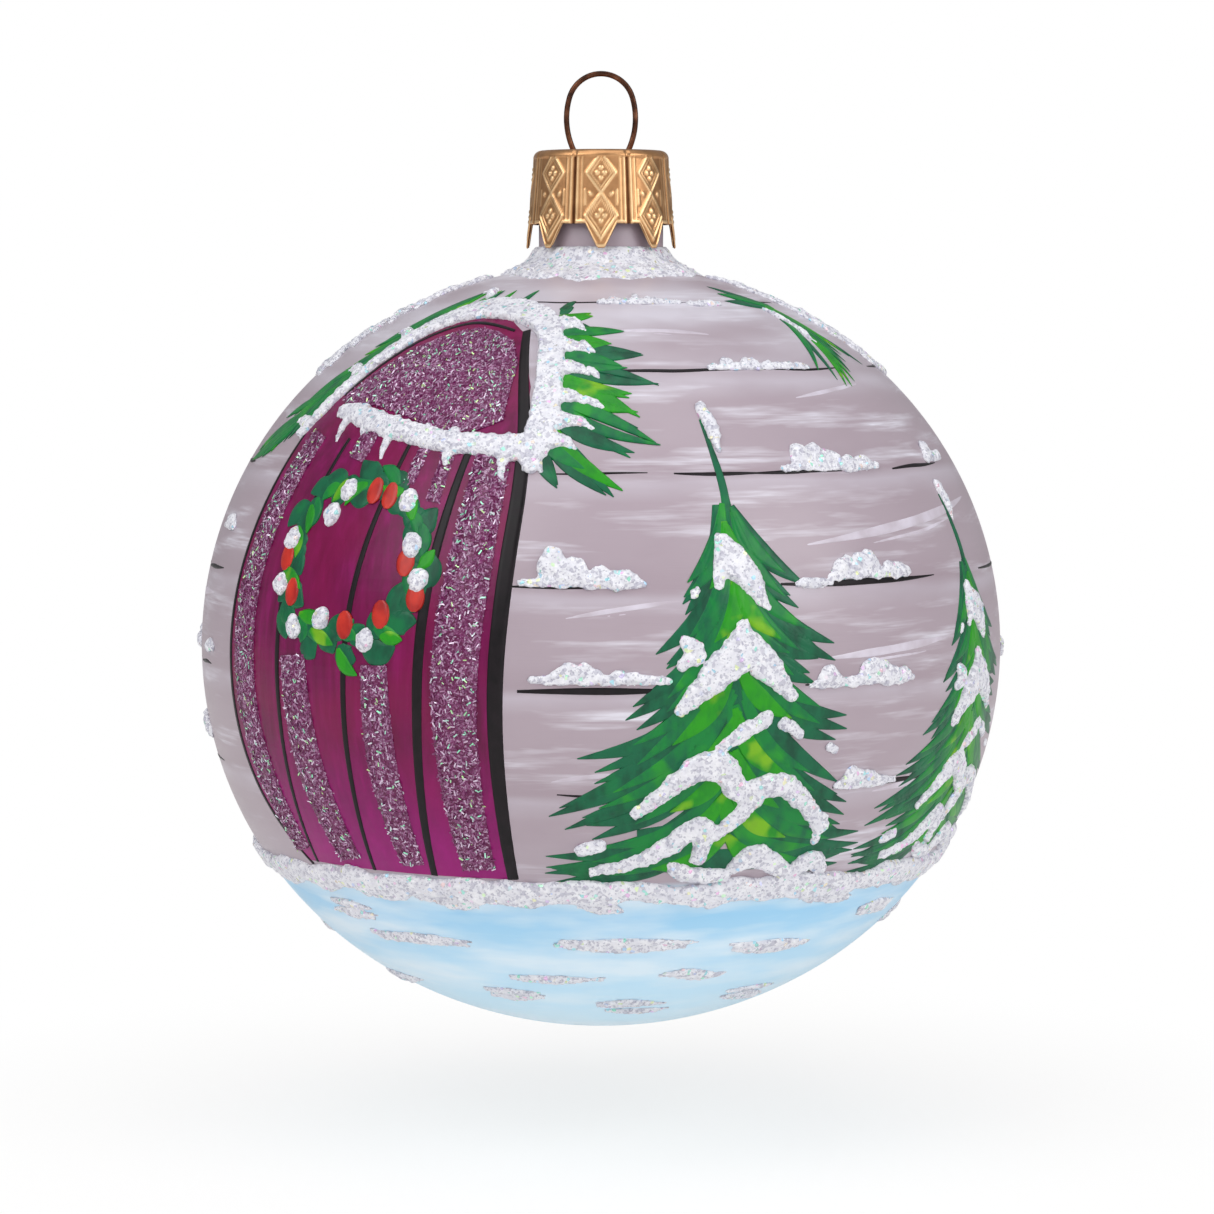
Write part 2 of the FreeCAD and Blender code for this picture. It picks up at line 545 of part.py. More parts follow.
def make_dabs(node, places, form, skin):
    """A group of dabs in one node: bars side by side, trimmed together."""
    bars = [dab_blank(f"{node}_{i}", *place) for i, place in enumerate(places)]
    blank = bars[0]
    if len(bars) > 1:
        blank = doc.addObject("Part::MultiFuse", node + "_bars")
        blank.Shapes = bars
    trim_to_skin(node, blank, form, skin)


def make_collar(blown):
    """The ring of snow paste round the root of the neck, clear of the cap's teeth."""
    tooth_tip = cap_top - size("cap_height")
    tooth_inside = cap_radius + size("cap_flare") - size("cap_wall")
    neck, width = size("neck_radius"), size("collar_width")
    high_edge = tooth_inside - size("collar_gap")
    in_the_glass = neck - size("glass_wall") / 2
    outline = [
        (in_the_glass, tooth_tip + 0.4), (high_edge - 0.3, tooth_tip + 0.4), (high_edge, tooth_tip - 0.1),
        (neck + 0.3 * width, tooth_tip - 1.3), (neck + 0.5 * width, tooth_tip - 1.9),
        (neck + 0.8 * width, tooth_tip - 2.5), (neck + width, tooth_tip - 3.4), (in_the_glass, tooth_tip - 6),
    ]
    body = new_body("collar_ring")
    sketch = new_sketch(body, "collar_profile")
    draw_outline(sketch, outline)
    revolve(body, sketch, "collar_turned")
    piece = doc.addObject("Part::Cut", "collar_skin")
    piece.Base, piece.Tool = body, blown
    doc.recompute()
    finish(piece, "snow_collar")


def make_ground_line(form, skin):
    """The band of snow paste where the ground meets the house, all the way round."""
    slab = doc.addObject("Part::Cylinder", "ground_slab")
    slab.setExpression("Radius", "(Sizes.ball_radius + 5) * 1 mm")
    top, bottom = "sin(Sizes.ground_top * 1 deg)", "sin(Sizes.ground_bottom * 1 deg)"
    slab.setExpression("Height", f"Sizes.ball_half_height * ({top} - {bottom}) * 1 mm")
    slab.setExpression("Placement.Base.z", f"Sizes.ball_half_height * {bottom} * 1 mm")
    doc.recompute()
    trim_to_skin("snow_ground_line", slab, form, skin)


def arch_outline(sketch, half, foot, spring, top):
    """An upright opening with a segmental arch on top, its heights above the ball's centre."""
    rise = top - spring
    radius = (half ** 2 + rise ** 2) / (2 * rise)
    centre = top - radius
    spread = math.asin(half / radius)
    arc = add_arc(sketch, (0, centre), radius, math.pi / 2 - spread, math.pi / 2 + spread)
    left = add_line(sketch, (-half, spring), (-half, foot))
    sill = add_line(sketch, (-half, foot), (half, foot))
    right = add_line(sketch, (half, foot), (half, spring))
    for edge, following in [(arc, left), (left, sill), (sill, right), (right, arc)]:
        tie(sketch, "Coincident", edge, 2, following, 1)


def make_arch_snow(node, azimuth, half, border, heights, form, skin):
    """Snow round an arch: an arched blank with a smaller arch taken out of it."""
    foot, spring, top = heights
    body = new_body(node + "_bar", azimuth)
    outside = new_sketch(body, node + "_outside")
    arch_outline(outside, half, foot, spring, top)
    pad_outwards(body, outside, node + "_pad")
    inside = new_sketch(body, node + "_inside")
    arch_outline(inside, half - border, foot + border, spring, top - border)
    doc.recompute()
    whole = body.Tip.Shape.Volume
    hole = body.newObject("PartDesign::Pocket", node + "_hole")
    hole.Profile = inside
    hole.Reversed = True
    hole.setExpression("Length", "(Sizes.ball_radius + 10) * 1 mm")
    body.Tip = hole
    doc.recompute()
    assert hole.Shape.Volume < whole, "the arch's opening cuts nothing"
    trim_to_skin(node, body, form, skin)


def make_wreath_pearls(form, skin):
    """Pearls of paste evenly round the wreath."""
    count = int(size("pearl_count"))
    middle = height_at(size("wreath_latitude"))
    body = new_body("pearls_bar", size("wreath_azimuth"))
    sketch = new_sketch(body, "pearls_outline")
    for i in range(count):
        turn = 2 * math.pi * (i + 0.5) / count
        spot = point(size("wreath_radius") * math.cos(turn), middle + size("wreath_radius") * math.sin(turn))
        sketch.addGeometry(Part.Circle(spot, FreeCAD.Vector(0, 0, 1), size("pearl_radius")), False)
    pad_outwards(body, sketch, "pearls_pad")
    trim_to_skin("wreath_pearls", body, form, skin)


def export_all():
    os.makedirs("parts", exist_ok=True)
    doc.recompute()
    for obj in doc.Objects:
        bad = {"Invalid", "Error"} & set(obj.State)
        if bad:
            raise RuntimeError(f"{obj.Name} ({obj.Label}) is {bad}")
    for node, obj in parts:
        shape = obj.Shape
        if shape.isNull() or not shape.isValid() or not shape.Solids:
            raise RuntimeError(f"{node} has no valid solid")
        shape.exportStep(f"parts/{node}.step")
        box = shape.BoundBox
        print(f"{node}: {len(shape.Solids)} solids, {shape.Volume:.2f} mm3, "
              f"z {box.ZMin:.2f} to {box.ZMax:.2f}")


make_glass_ball()
make_cap()
make_hanger()
blown_solid = make_blown_form("blown_solid")
paste_form = make_skin_form("paste_form", "paste_depth")
gel_form = make_skin_form("gel_form", "gel_depth")
make_collar(blown_solid)
make_ground_line(paste_form, blown_solid)
make_arch_snow("door_arch_snow", size("door_azimuth"), size("door_half_width"), size("arch_snow"),
               [height_at(size(place)) for place in ("arch_foot", "arch_spring", "arch_top")],
               paste_form, blown_solid)
make_arch_snow("window_snow", size("window_azimuth"), size("window_half_width"), size("sill_snow"),
               [height_at(size(place)) for place in ("window_foot", "window_spring", "window_top")],
               paste_form, blown_solid)
make_wreath_pearls(paste_form, blown_solid)
for place, dabs in LEDGE_DABS.items():
    for number, (turn, latitude, width, depth) in enumerate(dabs, 1):
        make_dabs(f"{place}_snow_{number}", [(turn, 0, height_at(latitude), width, depth)],
                  paste_form, blown_solid)
for place, (middle, dabs) in TREE_DABS.items():
    make_dabs(f"{place}_tree_snow", [(middle, across, height_at(latitude), width, depth)
                                     for across, latitude, width, depth in dabs], paste_form, blown_solid)
for node, dabs in (("ground_drifts", DRIFT_DABS), ("sprig_snow", SPRIG_DABS)):
    make_dabs(node, [(turn, 0, height_at(latitude), width, depth) for turn, latitude, width, depth in dabs],
              paste_form, blown_solid)
for number, (turn, bottom, top, width) in enumerate(GEL_STRIPS, 1):
    low, high = height_at(bottom), height_at(top)
    make_dabs(f"door_glitter_{number}",
              [(size("door_azimuth") + turn, 0, (low + high) / 2, width, high - low)], gel_form, blown_solid)
export_all()
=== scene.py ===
import math
import random

import bmesh
import bpy
from mathutils import Euler, Matrix, Vector, noise


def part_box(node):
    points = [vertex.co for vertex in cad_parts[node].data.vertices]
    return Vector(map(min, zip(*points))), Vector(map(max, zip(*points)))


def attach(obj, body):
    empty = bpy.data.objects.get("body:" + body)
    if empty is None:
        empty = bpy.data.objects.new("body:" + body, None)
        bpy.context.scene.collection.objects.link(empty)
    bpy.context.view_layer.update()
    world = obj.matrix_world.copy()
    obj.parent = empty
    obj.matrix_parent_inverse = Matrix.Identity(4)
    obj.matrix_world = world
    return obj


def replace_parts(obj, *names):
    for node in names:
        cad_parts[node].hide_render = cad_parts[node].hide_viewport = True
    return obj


# A hand-painted blown-glass ball: log house, door with a wreath, firs and sprigs under raised snow.
#
# The decoration is drawn flat, in millimetres, and then laid on the ball: X runs round the equator from
# the front towards +X, Y runs up the meridian from the equator, and Z stands off the glass.

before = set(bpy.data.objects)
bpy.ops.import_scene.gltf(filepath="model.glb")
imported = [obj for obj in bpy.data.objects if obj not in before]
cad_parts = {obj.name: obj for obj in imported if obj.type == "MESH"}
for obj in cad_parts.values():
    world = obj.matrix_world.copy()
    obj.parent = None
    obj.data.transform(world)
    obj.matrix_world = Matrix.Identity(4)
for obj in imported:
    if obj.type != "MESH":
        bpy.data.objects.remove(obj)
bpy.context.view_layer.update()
MM = 0.001

# The ball's oval: its radius from the glass node, with one arc for the side and one for each pole.
glass_low, glass_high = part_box("glass_ball")
FLATTENING = 1.8
OVAL_SHARE = 0.39
BALL_RADIUS = (glass_high.x - glass_low.x) / 2 / MM
HALF_HEIGHT = BALL_RADIUS - FLATTENING
CENTRE_Z = glass_low.z / MM + HALF_HEIGHT
SIDE_ARC = HALF_HEIGHT - OVAL_SHARE * FLATTENING
POLE_ARC = HALF_HEIGHT + FLATTENING * (1 + 2 * OVAL_SHARE) / (2 * OVAL_SHARE)
POLE_DROP = POLE_ARC - HALF_HEIGHT
JOIN = math.atan2((1 + 2 * OVAL_SHARE) / (2 * OVAL_SHARE), 1 + OVAL_SHARE)
CAP_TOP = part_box("cap_crown")[1].z / MM
NECK_RADIUS = 6.2
GLASS_WALL = 0.7
# How far paint and paste stand off the glass, how far a stroke's foot sinks in, and the ground's height.
PAINT = 0.05
PASTE = 0.55
SUNK = -0.25
GROUND = -18.9


def meridian(height):
    """Length up the meridian, from the equator, of a height above the ball's centre."""
    if abs(height) < SIDE_ARC * math.sin(JOIN):
        return SIDE_ARC * math.asin(height / SIDE_ARC)
    lean = math.asin(min(1, (abs(height) + POLE_DROP) / POLE_ARC))
    return math.copysign(SIDE_ARC * JOIN + POLE_ARC * (lean - JOIN), height)


def flat(azimuth, height):
    """A place on the ball as a place in the flat drawing."""
    return math.radians(azimuth) * BALL_RADIUS, meridian(height)


def on_ball(x, y, z):
    """A point of the flat drawing, laid on the ball, in metres in the row's frame."""
    turn = x / BALL_RADIUS
    if abs(y) < SIDE_ARC * JOIN:
        lean = y / SIDE_ARC
        reach = BALL_RADIUS - SIDE_ARC + (SIDE_ARC + z) * math.cos(lean)
        height = (SIDE_ARC + z) * math.sin(lean)
    else:
        lean = JOIN + (abs(y) - SIDE_ARC * JOIN) / POLE_ARC
        reach = (POLE_ARC + z) * math.cos(lean)
        height = math.copysign((POLE_ARC + z) * math.sin(lean) - POLE_DROP, y)
    return Vector((reach * math.sin(turn), -reach * math.cos(turn), height + CENTRE_Z)) * MM


def lay_on_ball(mesh):
    """Bends a mesh of the flat drawing round the ball."""
    for vert in mesh.vertices:
        vert.co = on_ball(*vert.co)


def link(name, data):
    """A new object in the scene."""
    made = bpy.data.objects.new(name, data)
    bpy.context.scene.collection.objects.link(made)
    return made


def baked(drawn):
    """The mesh that an object comes to with its bevel or modifiers. The object itself goes."""
    mesh = bpy.data.meshes.new_from_object(drawn.evaluated_get(bpy.context.evaluated_depsgraph_get()))
    bpy.data.objects.remove(drawn)
    return mesh


def mesh_of(work, name):
    """A mesh from what has been worked on."""
    mesh = bpy.data.meshes.new(name)
    work.to_mesh(mesh)
    work.free()
    return mesh


def spin(work, steps):
    """Spins an outline all the way round the upright axis."""
    bmesh.ops.spin(work, geom=work.verts[:] + work.edges[:], axis=(0, 0, 1), cent=(0, 0, 0), steps=steps,
                   angle=2 * math.pi, use_merge=True)


def add_node(tree, kind, settings, values):
    """A node of a tree: its settings first, such as an operation or a ramp's stops, and then its sockets."""
    node = tree.nodes.new(kind)
    for key, value in settings.items():
        if key == "stops":
            while len(node.color_ramp.elements) < len(value):
                node.color_ramp.elements.new(0.5)
            for element, (position, colour) in zip(node.color_ramp.elements, value):
                element.position, element.color = position, (*colour, 1)
        else:
            setattr(node, key, value)
    for key, value in values.items():
        if isinstance(value, bpy.types.NodeSocket):
            tree.links.new(value, node.inputs[key])
        else:
            node.inputs[key].default_value = value
    return node


class Socket:
    """A socket of a finish's node tree, with the arithmetic that the finishes use."""

    def __init__(self, finish, socket):
        self.finish, self.socket = finish, socket

    def math(self, operation, *others, clamp=False):
        values = {i: v for i, v in enumerate((self, *others))}
        return self.finish.add("ShaderNodeMath", dict(operation=operation, use_clamp=clamp), values)

    def __add__(self, other): return self.math("ADD", other)
    def __sub__(self, other): return self.math("SUBTRACT", other)
    def __mul__(self, other): return self.math("MULTIPLY", other)
    def __truediv__(self, other): return self.math("DIVIDE", other)
    def __rsub__(self, other): return (self * -1).math("ADD", other)
    __radd__, __rmul__ = __add__, __mul__

    def over(self, edge, soft):
        """0 below an edge and 1 above it, with a soft step."""
        return ((self - edge) / soft + 0.5).math("ADD", 0, clamp=True)


class Finish:
    """A node material with one Principled shader."""

    def __init__(self, name, roughness=0.5, metallic=0.0, **constants):
        self.material = bpy.data.materials.new(name)
        self.material.use_nodes = True
        self.tree = self.material.node_tree
        self.shader = self.tree.nodes["Principled BSDF"]
        self.shader.inputs["Roughness"].default_value = roughness
        self.shader.inputs["Metallic"].default_value = metallic
        for socket, value in constants.items():
            self.shader.inputs[socket.replace("_", " ")].default_value = value
        place = self.add("ShaderNodeTexCoord", {}, {}, "Object")
        self.place = self.add("ShaderNodeVectorMath", dict(operation="MULTIPLY_ADD"),
                              {0: place, 1: (1 / MM,) * 3, 2: (0, 0, -CENTRE_Z)})
        self.z = self.add("ShaderNodeSeparateXYZ", {}, {"Vector": self.place}, "Z")

    def add(self, kind, settings, values, output=0):
        values = {key: value.socket if isinstance(value, Socket) else value for key,
                  value in values.items()}
        return Socket(self, add_node(self.tree, kind, settings, values).outputs[output])

    def noise(self, scale, detail=2.0, stretch=(1, 1, 1), roughness=0.5):
        where = self.add("ShaderNodeVectorMath", dict(operation="MULTIPLY"), {0: self.place, 1: stretch})
        return self.add("ShaderNodeTexNoise", {}, {"Vector": where, "Scale": scale, "Detail": detail,
                                                   "Roughness": roughness})

    def cells(self, scale, output="Color"):
        return self.add("ShaderNodeTexVoronoi", {}, {"Vector": self.place, "Scale": scale}, output)

    def ramp(self, factor, stops):
        return self.add("ShaderNodeValToRGB", dict(stops=stops), {"Fac": factor})

    def mix(self, factor, first, second):
        colours = [c if isinstance(c, Socket) else (*c, 1) for c in (first, second)]
        return self.add("ShaderNodeMix", dict(data_type="RGBA"),
                        {0: factor, 6: colours[0], 7: colours[1]}, 2)

    def channel(self, colour, name="Red"):
        return self.add("ShaderNodeSeparateColor", {}, {"Color": colour}, name)

    def bump(self, height, distance, strength=1.0):
        return self.add("ShaderNodeBump", {}, {"Height": height, "Distance": distance * MM,
                                               "Strength": strength})

    def feed(self, **sockets):
        for name, socket in sockets.items():
            self.tree.links.new(socket.socket, self.shader.inputs[name.replace("_", " ")])
        return self.material


def shade(red, green, blue):
    """A colour written as it looks, turned into the linear values that the shader takes."""
    return tuple((c / 255 / 12.92 if c <= 10 else ((c / 255 + 0.055) / 1.055) ** 2.4)
                 for c in (red, green, blue))


def wall_finish():
    """The painted logs: pinkish grey with white dry-brushed light, over pale blue ground that grows lighter
    towards the bottom, partly its paint and partly painted bounce light from the floor.
    """
    finish = Finish("painted_logs", roughness=0.42, Coat_Weight=0.15, Coat_Roughness=0.3)
    streaks = finish.noise(0.055, 4, (1, 1, 9), 0.55)
    broad = finish.noise(0.05, 2, (1, 1, 4))
    fine = finish.noise(0.3, 3, (0.3, 0.3, 8), 0.65)
    span = 38.0
    across = (finish.z + span) / (2 * span) + (broad - 0.5) * 0.02
    rose, grey = shade(163, 147, 157), shade(169, 154, 164)
    pale, white = shade(185, 175, 186), shade(230, 229, 240)
    logs = [(-span, pale)]
    for seam in LOG_SEAMS[::-1]:
        logs += [(seam - 2.6, grey), (seam - 0.9, pale), (seam, rose), (seam + 2.4, grey)]
    logs.append((span, white))
    wall = finish.ramp(across, [((h + span) / (2 * span), c) for h, c in logs])
    light = (streaks.over(0.61, 0.16) * fine.over(0.5, 0.35)) * 0.9
    wall = finish.mix(light, wall, white)
    wall = finish.mix(finish.z.over(29, 8) * broad.over(0.45, 0.25) * 0.45, wall, white)
    wall = finish.mix(finish.noise(0.12, 2, (1, 1, 3)).over(0.56, 0.2) * 0.35, wall, rose)
    wall = finish.mix(finish.z.over(37.6, 1.5), wall, rose)
    # The ground's blue is its paint; its lightening towards the ball's bottom is partly painted bounce light
    # from the floor below.
    ground = finish.ramp((finish.z + span) / span,
                         [(0.0, shade(214, 240, 252)), (0.22, shade(190, 228, 250)),
                                                   (0.40, shade(154, 208, 242)), (0.5, shade(214, 234, 247))])
    smears = finish.noise(0.08, 3, (1, 1, 5), 0.5)
    ground = finish.mix(smears.over(0.54, 0.3) * 0.65, ground, shade(238, 247, 253))
    colour = finish.mix((finish.z + (broad - 0.5) * 2).over(GROUND - 0.8, 0.8), ground, wall)
    rough = streaks * 0.2 + 0.3
    return finish.feed(Base_Color=colour, Roughness=rough, Normal=finish.bump(fine + streaks, 0.04, 0.5))


def bough_finish(name, main, shadow, tip):
    """A brushed green: streaks of its neighbours along the stroke, and a little yellow where it thins."""
    finish = Finish(name, roughness=0.4, Specular_IOR_Level=0.3, Coat_Weight=0.08, Coat_Roughness=0.25)
    streaks = finish.noise(0.6, 3, (1, 1, 0.5), 0.6)
    patches = finish.noise(0.32, 2)
    colour = finish.mix(streaks.over(0.54, 0.22), main, shadow)
    colour = finish.mix(patches.over(0.61, 0.12) * 0.55, colour, tip)
    return finish.feed(Base_Color=colour, Roughness=streaks * 0.25 + 0.3,
                       Normal=finish.bump(streaks, 0.04, 0.6))


def snow_finish(name):
    """Snow paste: white with a lilac-grey speckle of flakes, some of them catching green, blue or rose."""
    finish = Finish(name, roughness=0.55)
    flakes = finish.cells(3.1)
    small = finish.cells(6.5)
    pick, hue, tilt = (finish.channel(flakes, c) for c in ("Red", "Green", "Blue"))
    fleck = finish.channel(small)
    body = finish.ramp(finish.noise(1.1, 3), [(0.3, shade(222, 222, 232)), (0.7, shade(246, 246, 251))])
    body = finish.mix(pick.over(0.80, 0.04) * 0.55, body, shade(166, 164, 184))
    body = finish.mix(fleck.over(0.86, 0.04) * 0.5, body, shade(150, 148, 170))
    glint = finish.ramp(hue, [(0.0, shade(150, 240, 200)), (0.35, shade(170, 225, 255)),
                              (0.6, shade(255, 190, 240)),
                              (0.85, shade(240, 250, 180)), (1.0, shade(190, 255, 220))])
    sparkle = tilt.over(0.94, 0.02)
    colour = finish.mix(sparkle * 0.8, body, glint)
    rough = 0.62 - pick * 0.35 - sparkle * 0.2
    height = finish.channel(flakes, "Blue") * 0.6 + finish.noise(2.2, 3) + fleck * 0.3
    return finish.feed(Base_Color=colour, Roughness=rough, Metallic=sparkle * 0.3,
                       Normal=finish.bump(height, 0.16, 0.9))


def speck_finish(name, stops):
    """Cut glitter: each flake has a tint of its own."""
    finish = Finish(name, roughness=0.25)
    tint = finish.add("ShaderNodeAttribute", dict(attribute_name="tint"), {}, "Fac")
    colour = finish.ramp(tint, stops)
    return finish.feed(Base_Color=colour, Metallic=tint * 0.35, Roughness=(1 - tint) * 0.3 + 0.15)


def door_finish():
    """Plum lacquer, brushed down the planks."""
    finish = Finish("plum_lacquer", roughness=0.35, Specular_IOR_Level=0.25, Coat_Weight=0.08,
                    Coat_Roughness=0.2)
    brush = finish.noise(0.8, 3, (1, 1, 0.12), 0.6)
    patches = finish.noise(0.12, 2)
    colour = finish.ramp(brush, [(0.3, shade(94, 0, 58)), (0.55, shade(114, 0, 74)),
                                 (0.75, shade(136, 4, 94))])
    colour = finish.mix(patches.over(0.55, 0.2) * 0.5, colour, shade(128, 0, 66))
    low = 1 - finish.z.over(-12, 12)
    colour = finish.mix(low * 0.5, colour, shade(168, 16, 134))
    return finish.feed(Base_Color=colour, Roughness=brush * 0.2 + 0.25,
                       Normal=finish.bump(brush, 0.03, 0.5))


def gel_finish():
    """Gel under the glitter: plum showing through a lilac speckle."""
    finish = Finish("glitter_gel_bed", roughness=0.4)
    grains, fine = finish.cells(4.4), finish.cells(8.0)
    tone = finish.channel(grains) * 0.6 + finish.channel(fine) * 0.4
    colour = finish.ramp(tone, [(0.15, shade(88, 2, 60)), (0.44, shade(106, 18, 80)),
                                (0.68, shade(134, 68, 116)),
                                (0.9, shade(188, 158, 184))])
    return finish.feed(Base_Color=colour, Roughness=finish.channel(grains, "Green") * 0.5 + 0.15,
                       Normal=finish.bump(tone, 0.14, 0.9))


def plain_finish(name, light, dark, scale, rough, **constants):
    """A single paint with soft uneven tone."""
    finish = Finish(name, roughness=rough, **constants)
    tone = finish.noise(scale, 3)
    colour = finish.ramp(tone, [(0.32, dark), (0.68, light)])
    return finish.feed(Base_Color=colour, Roughness=tone * 0.3 + (rough - 0.15),
                       Normal=finish.bump(tone, 0.03, 0.4))


def cap_finish():
    """Antique gold: satin on the raised work and brown in the hollows, the brown partly tarnish and partly
    painted shade.
    """
    finish = Finish("antique_gold_and_painted_shade", roughness=0.3, metallic=1.0)
    relief = finish.add("ShaderNodeAttribute", dict(attribute_name="relief"), {}, "Fac")
    tarnish = finish.noise(0.8, 4)
    # Darker as the relief falls: the brown in the stamped hollows and in the gaps between panels is partly
    # painted shade.
    colour = finish.ramp(relief + (tarnish - 0.5) * 0.25,
                         [(0.18, shade(88, 54, 34)), (0.42, shade(172, 122, 82)),
                          (0.62, shade(214, 164, 116)), (0.9, shade(248, 210, 160))])
    grain = finish.noise(9, 2)
    return finish.feed(Base_Color=colour, Roughness=tarnish * 0.25 + 0.24,
                       Normal=finish.bump(grain, 0.012, 0.5))


def wire_finish():
    """Drawn wire with a brown coat, uneven in tone."""
    finish = Finish("copper_brown_wire", roughness=0.35, metallic=1.0)
    tarnish = finish.noise(0.9, 4)
    colour = finish.ramp(tarnish, [(0.3, shade(52, 36, 30)), (0.55, shade(98, 62, 46)),
                                   (0.75, shade(134, 92, 70))])
    return finish.feed(Base_Color=colour, Roughness=tarnish * 0.3 + 0.2,
                       Normal=finish.bump(tarnish, 0.02, 0.3))


def section(name, points):
    """The closed cross-section that a brush stroke or a bead of paste is drawn with."""
    curve = bpy.data.curves.new(name, "CURVE")
    curve.dimensions = "2D"
    spline = curve.splines.new("POLY")
    spline.points.add(len(points) - 1)
    for point, (x, y) in zip(spline.points, points):
        point.co = (x, y, 0, 1)
    spline.use_cyclic_u = True
    shape = link(name, curve)
    shape.hide_render = True
    return shape


def stroke_mesh(name, strokes, profile, steps=4):
    """Strokes as one mesh in the flat drawing. A stroke is ([(x, y), ...], [half-width, ...])."""
    curve = bpy.data.curves.new(name, "CURVE")
    curve.dimensions = "2D"
    curve.bevel_mode, curve.bevel_object = "OBJECT", profile
    curve.use_fill_caps = True
    for places, widths in strokes:
        spline = curve.splines.new("NURBS")
        spline.points.add(len(places) - 1)
        for point, (x, y), width in zip(spline.points, places, widths):
            point.co, point.radius = (x, y, 0, 1), width
        spline.order_u = min(3, len(places))
        spline.use_endpoint_u = True
        spline.resolution_u = steps
    return baked(link(name, curve))


def piece(name, mesh, finish, body="ball", smooth=True):
    """A finished piece from a mesh that is already in place."""
    mesh.name = name
    mesh.materials.clear()
    mesh.materials.append(finish)
    mesh.polygons.foreach_set("use_smooth", [smooth] * len(mesh.polygons))
    shown = link(name, mesh)
    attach(shown, body)
    return shown


def tidy(mesh, merge=0.0):
    """Joins doubled points and turns every face outwards."""
    work = bmesh.new()
    work.from_mesh(mesh)
    if merge:
        bmesh.ops.remove_doubles(work, verts=work.verts, dist=merge)
    bmesh.ops.recalc_face_normals(work, faces=work.faces)
    work.to_mesh(mesh)
    work.free()


def paint(name, strokes, finish, lift):
    """Flat brush strokes, laid on the ball."""
    mesh = stroke_mesh(name, strokes, BRUSH, 9)
    for vert in mesh.vertices:
        vert.co.z = min(vert.co.z, PAINT) + lift
    tidy(mesh)
    lay_on_ball(mesh)
    piece(name, mesh, finish)


def blunted(places, widths):
    """The same stroke with a narrow point added past each end, which rounds the bead off."""
    def past_end(x, y, next_x, next_y, width):
        length = max(0.01, math.hypot(x - next_x, y - next_y))
        ahead = [width * share / length for share in (0.6, 1.0)]
        return [(x + (x - next_x) * step, y + (y - next_y) * step) for step in ahead]

    first = past_end(*places[0], *places[1], widths[0])[::-1]
    last = past_end(*places[-1], *places[-2], widths[-1])
    return ([*first, *places, *last],
            [widths[0] * 0.4, widths[0] * 0.85, *widths, widths[-1] * 0.85, widths[-1] * 0.4])


def oval(x, y, half_width, half_height):
    """An upright oval dab as a short stroke."""
    steps = (-0.97, -0.8, -0.45, 0, 0.45, 0.8, 0.97)
    return [(x, y + t * half_height) for t in steps], [half_width * math.sqrt(1 - t * t) for t in steps]


def heap(name, strokes, nodes, voxel=0.2, roughen=0.14, finish=None, seed=1):
    """Snow paste: beads of paste run together into one lump with a rough top, laid on the ball."""
    mesh = stroke_mesh(name, [blunted(*stroke) if len(stroke[0]) < 6 else stroke for stroke in strokes],
                       BEAD, 5)
    drawn = link(name + "_beads", mesh)
    join = drawn.modifiers.new("join", "REMESH")
    join.mode, join.voxel_size = "VOXEL", voxel
    mesh = baked(drawn)
    work = bmesh.new()
    work.from_mesh(mesh)
    bmesh.ops.smooth_vert(work, verts=work.verts, factor=0.5, use_axis_x=True, use_axis_y=True,
                          use_axis_z=True)
    work.normal_update()
    shift = Vector((seed * 7.3, 0, 0))
    for vert in work.verts:
        if vert.co.z > 0.02:
            lump = noise.noise(vert.co * 1.3 + shift) + 0.7 * noise.noise(vert.co * 3.1 + shift)
            edge = noise.noise(vert.co * 0.8 - shift)
            vert.co += vert.normal * roughen * lump
            vert.co.xy += vert.normal.xy * 0.25 * edge
        vert.co.z = max(SUNK, min(vert.co.z, PASTE + 0.08))
    work.to_mesh(mesh)
    work.free()
    lay_on_ball(mesh)
    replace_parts(piece(name, mesh, finish or SNOW), *nodes)


def taper(count, start, middle, end):
    """Half-widths along a stroke: from its start, through its middle, to its end."""
    half = (count - 1) / 2
    return [start + (middle - start) * math.sin(math.pi / 2 * min(1, i / half)) if i <= half
            else middle + (end - middle) * ((i - half) / half) ** 1.5 for i in range(count)]


def bowed(start, end, bow, count=5):
    """Points from start to end in the flat drawing, bowed sideways by a share of the length."""
    (x0, y0), (x1, y1) = start, end
    return [(x0 + (x1 - x0) * t - (y1 - y0) * bow * math.sin(math.pi * t),
             y0 + (y1 - y0) * t + (x1 - x0) * bow * math.sin(math.pi * t))
            for t in (i / (count - 1) for i in range(count))]


def nodes_like(*starts):
    """The names of the paste or gel nodes that begin with any of these words."""
    return sorted(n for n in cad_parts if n.startswith(starts))


# Heights of the seams between logs, top to bottom, and the painted parts of each at the front:
# (from azimuth, to azimuth, half-width).
LOG_SEAMS = [34.3, 28.0, 18.7, 8.5, -0.8, -10.6]
FRONT_SEAMS = [
    [(-36, 28, 0.16), (44, 70, 0.2)],
    [(-4, 34, 0.26), (30, 58, 0.2), (72, 92, 0.22)],
    [(-8, 7, 0.16), (11, 26, 0.26), (24, 40, 0.3), (52, 68, 0.26), (-84, -76, 0.3)],
    [(-12, 3, 0.26), (25, 54, 0.36), (70, 92, 0.22), (-82, -70, 0.28)],
    [(-11, 12, 0.42), (28, 37, 0.22), (58, 66, 0.2), (-80, -72, 0.24)],
    [(-6, 6, 0.18), (34, 56, 0.34), (-86, -74, 0.22)],
]
DOOR_EDGE = (-13.5, -61.5)
WREATH = (-37.3, 10.7)
WINDOW = 136
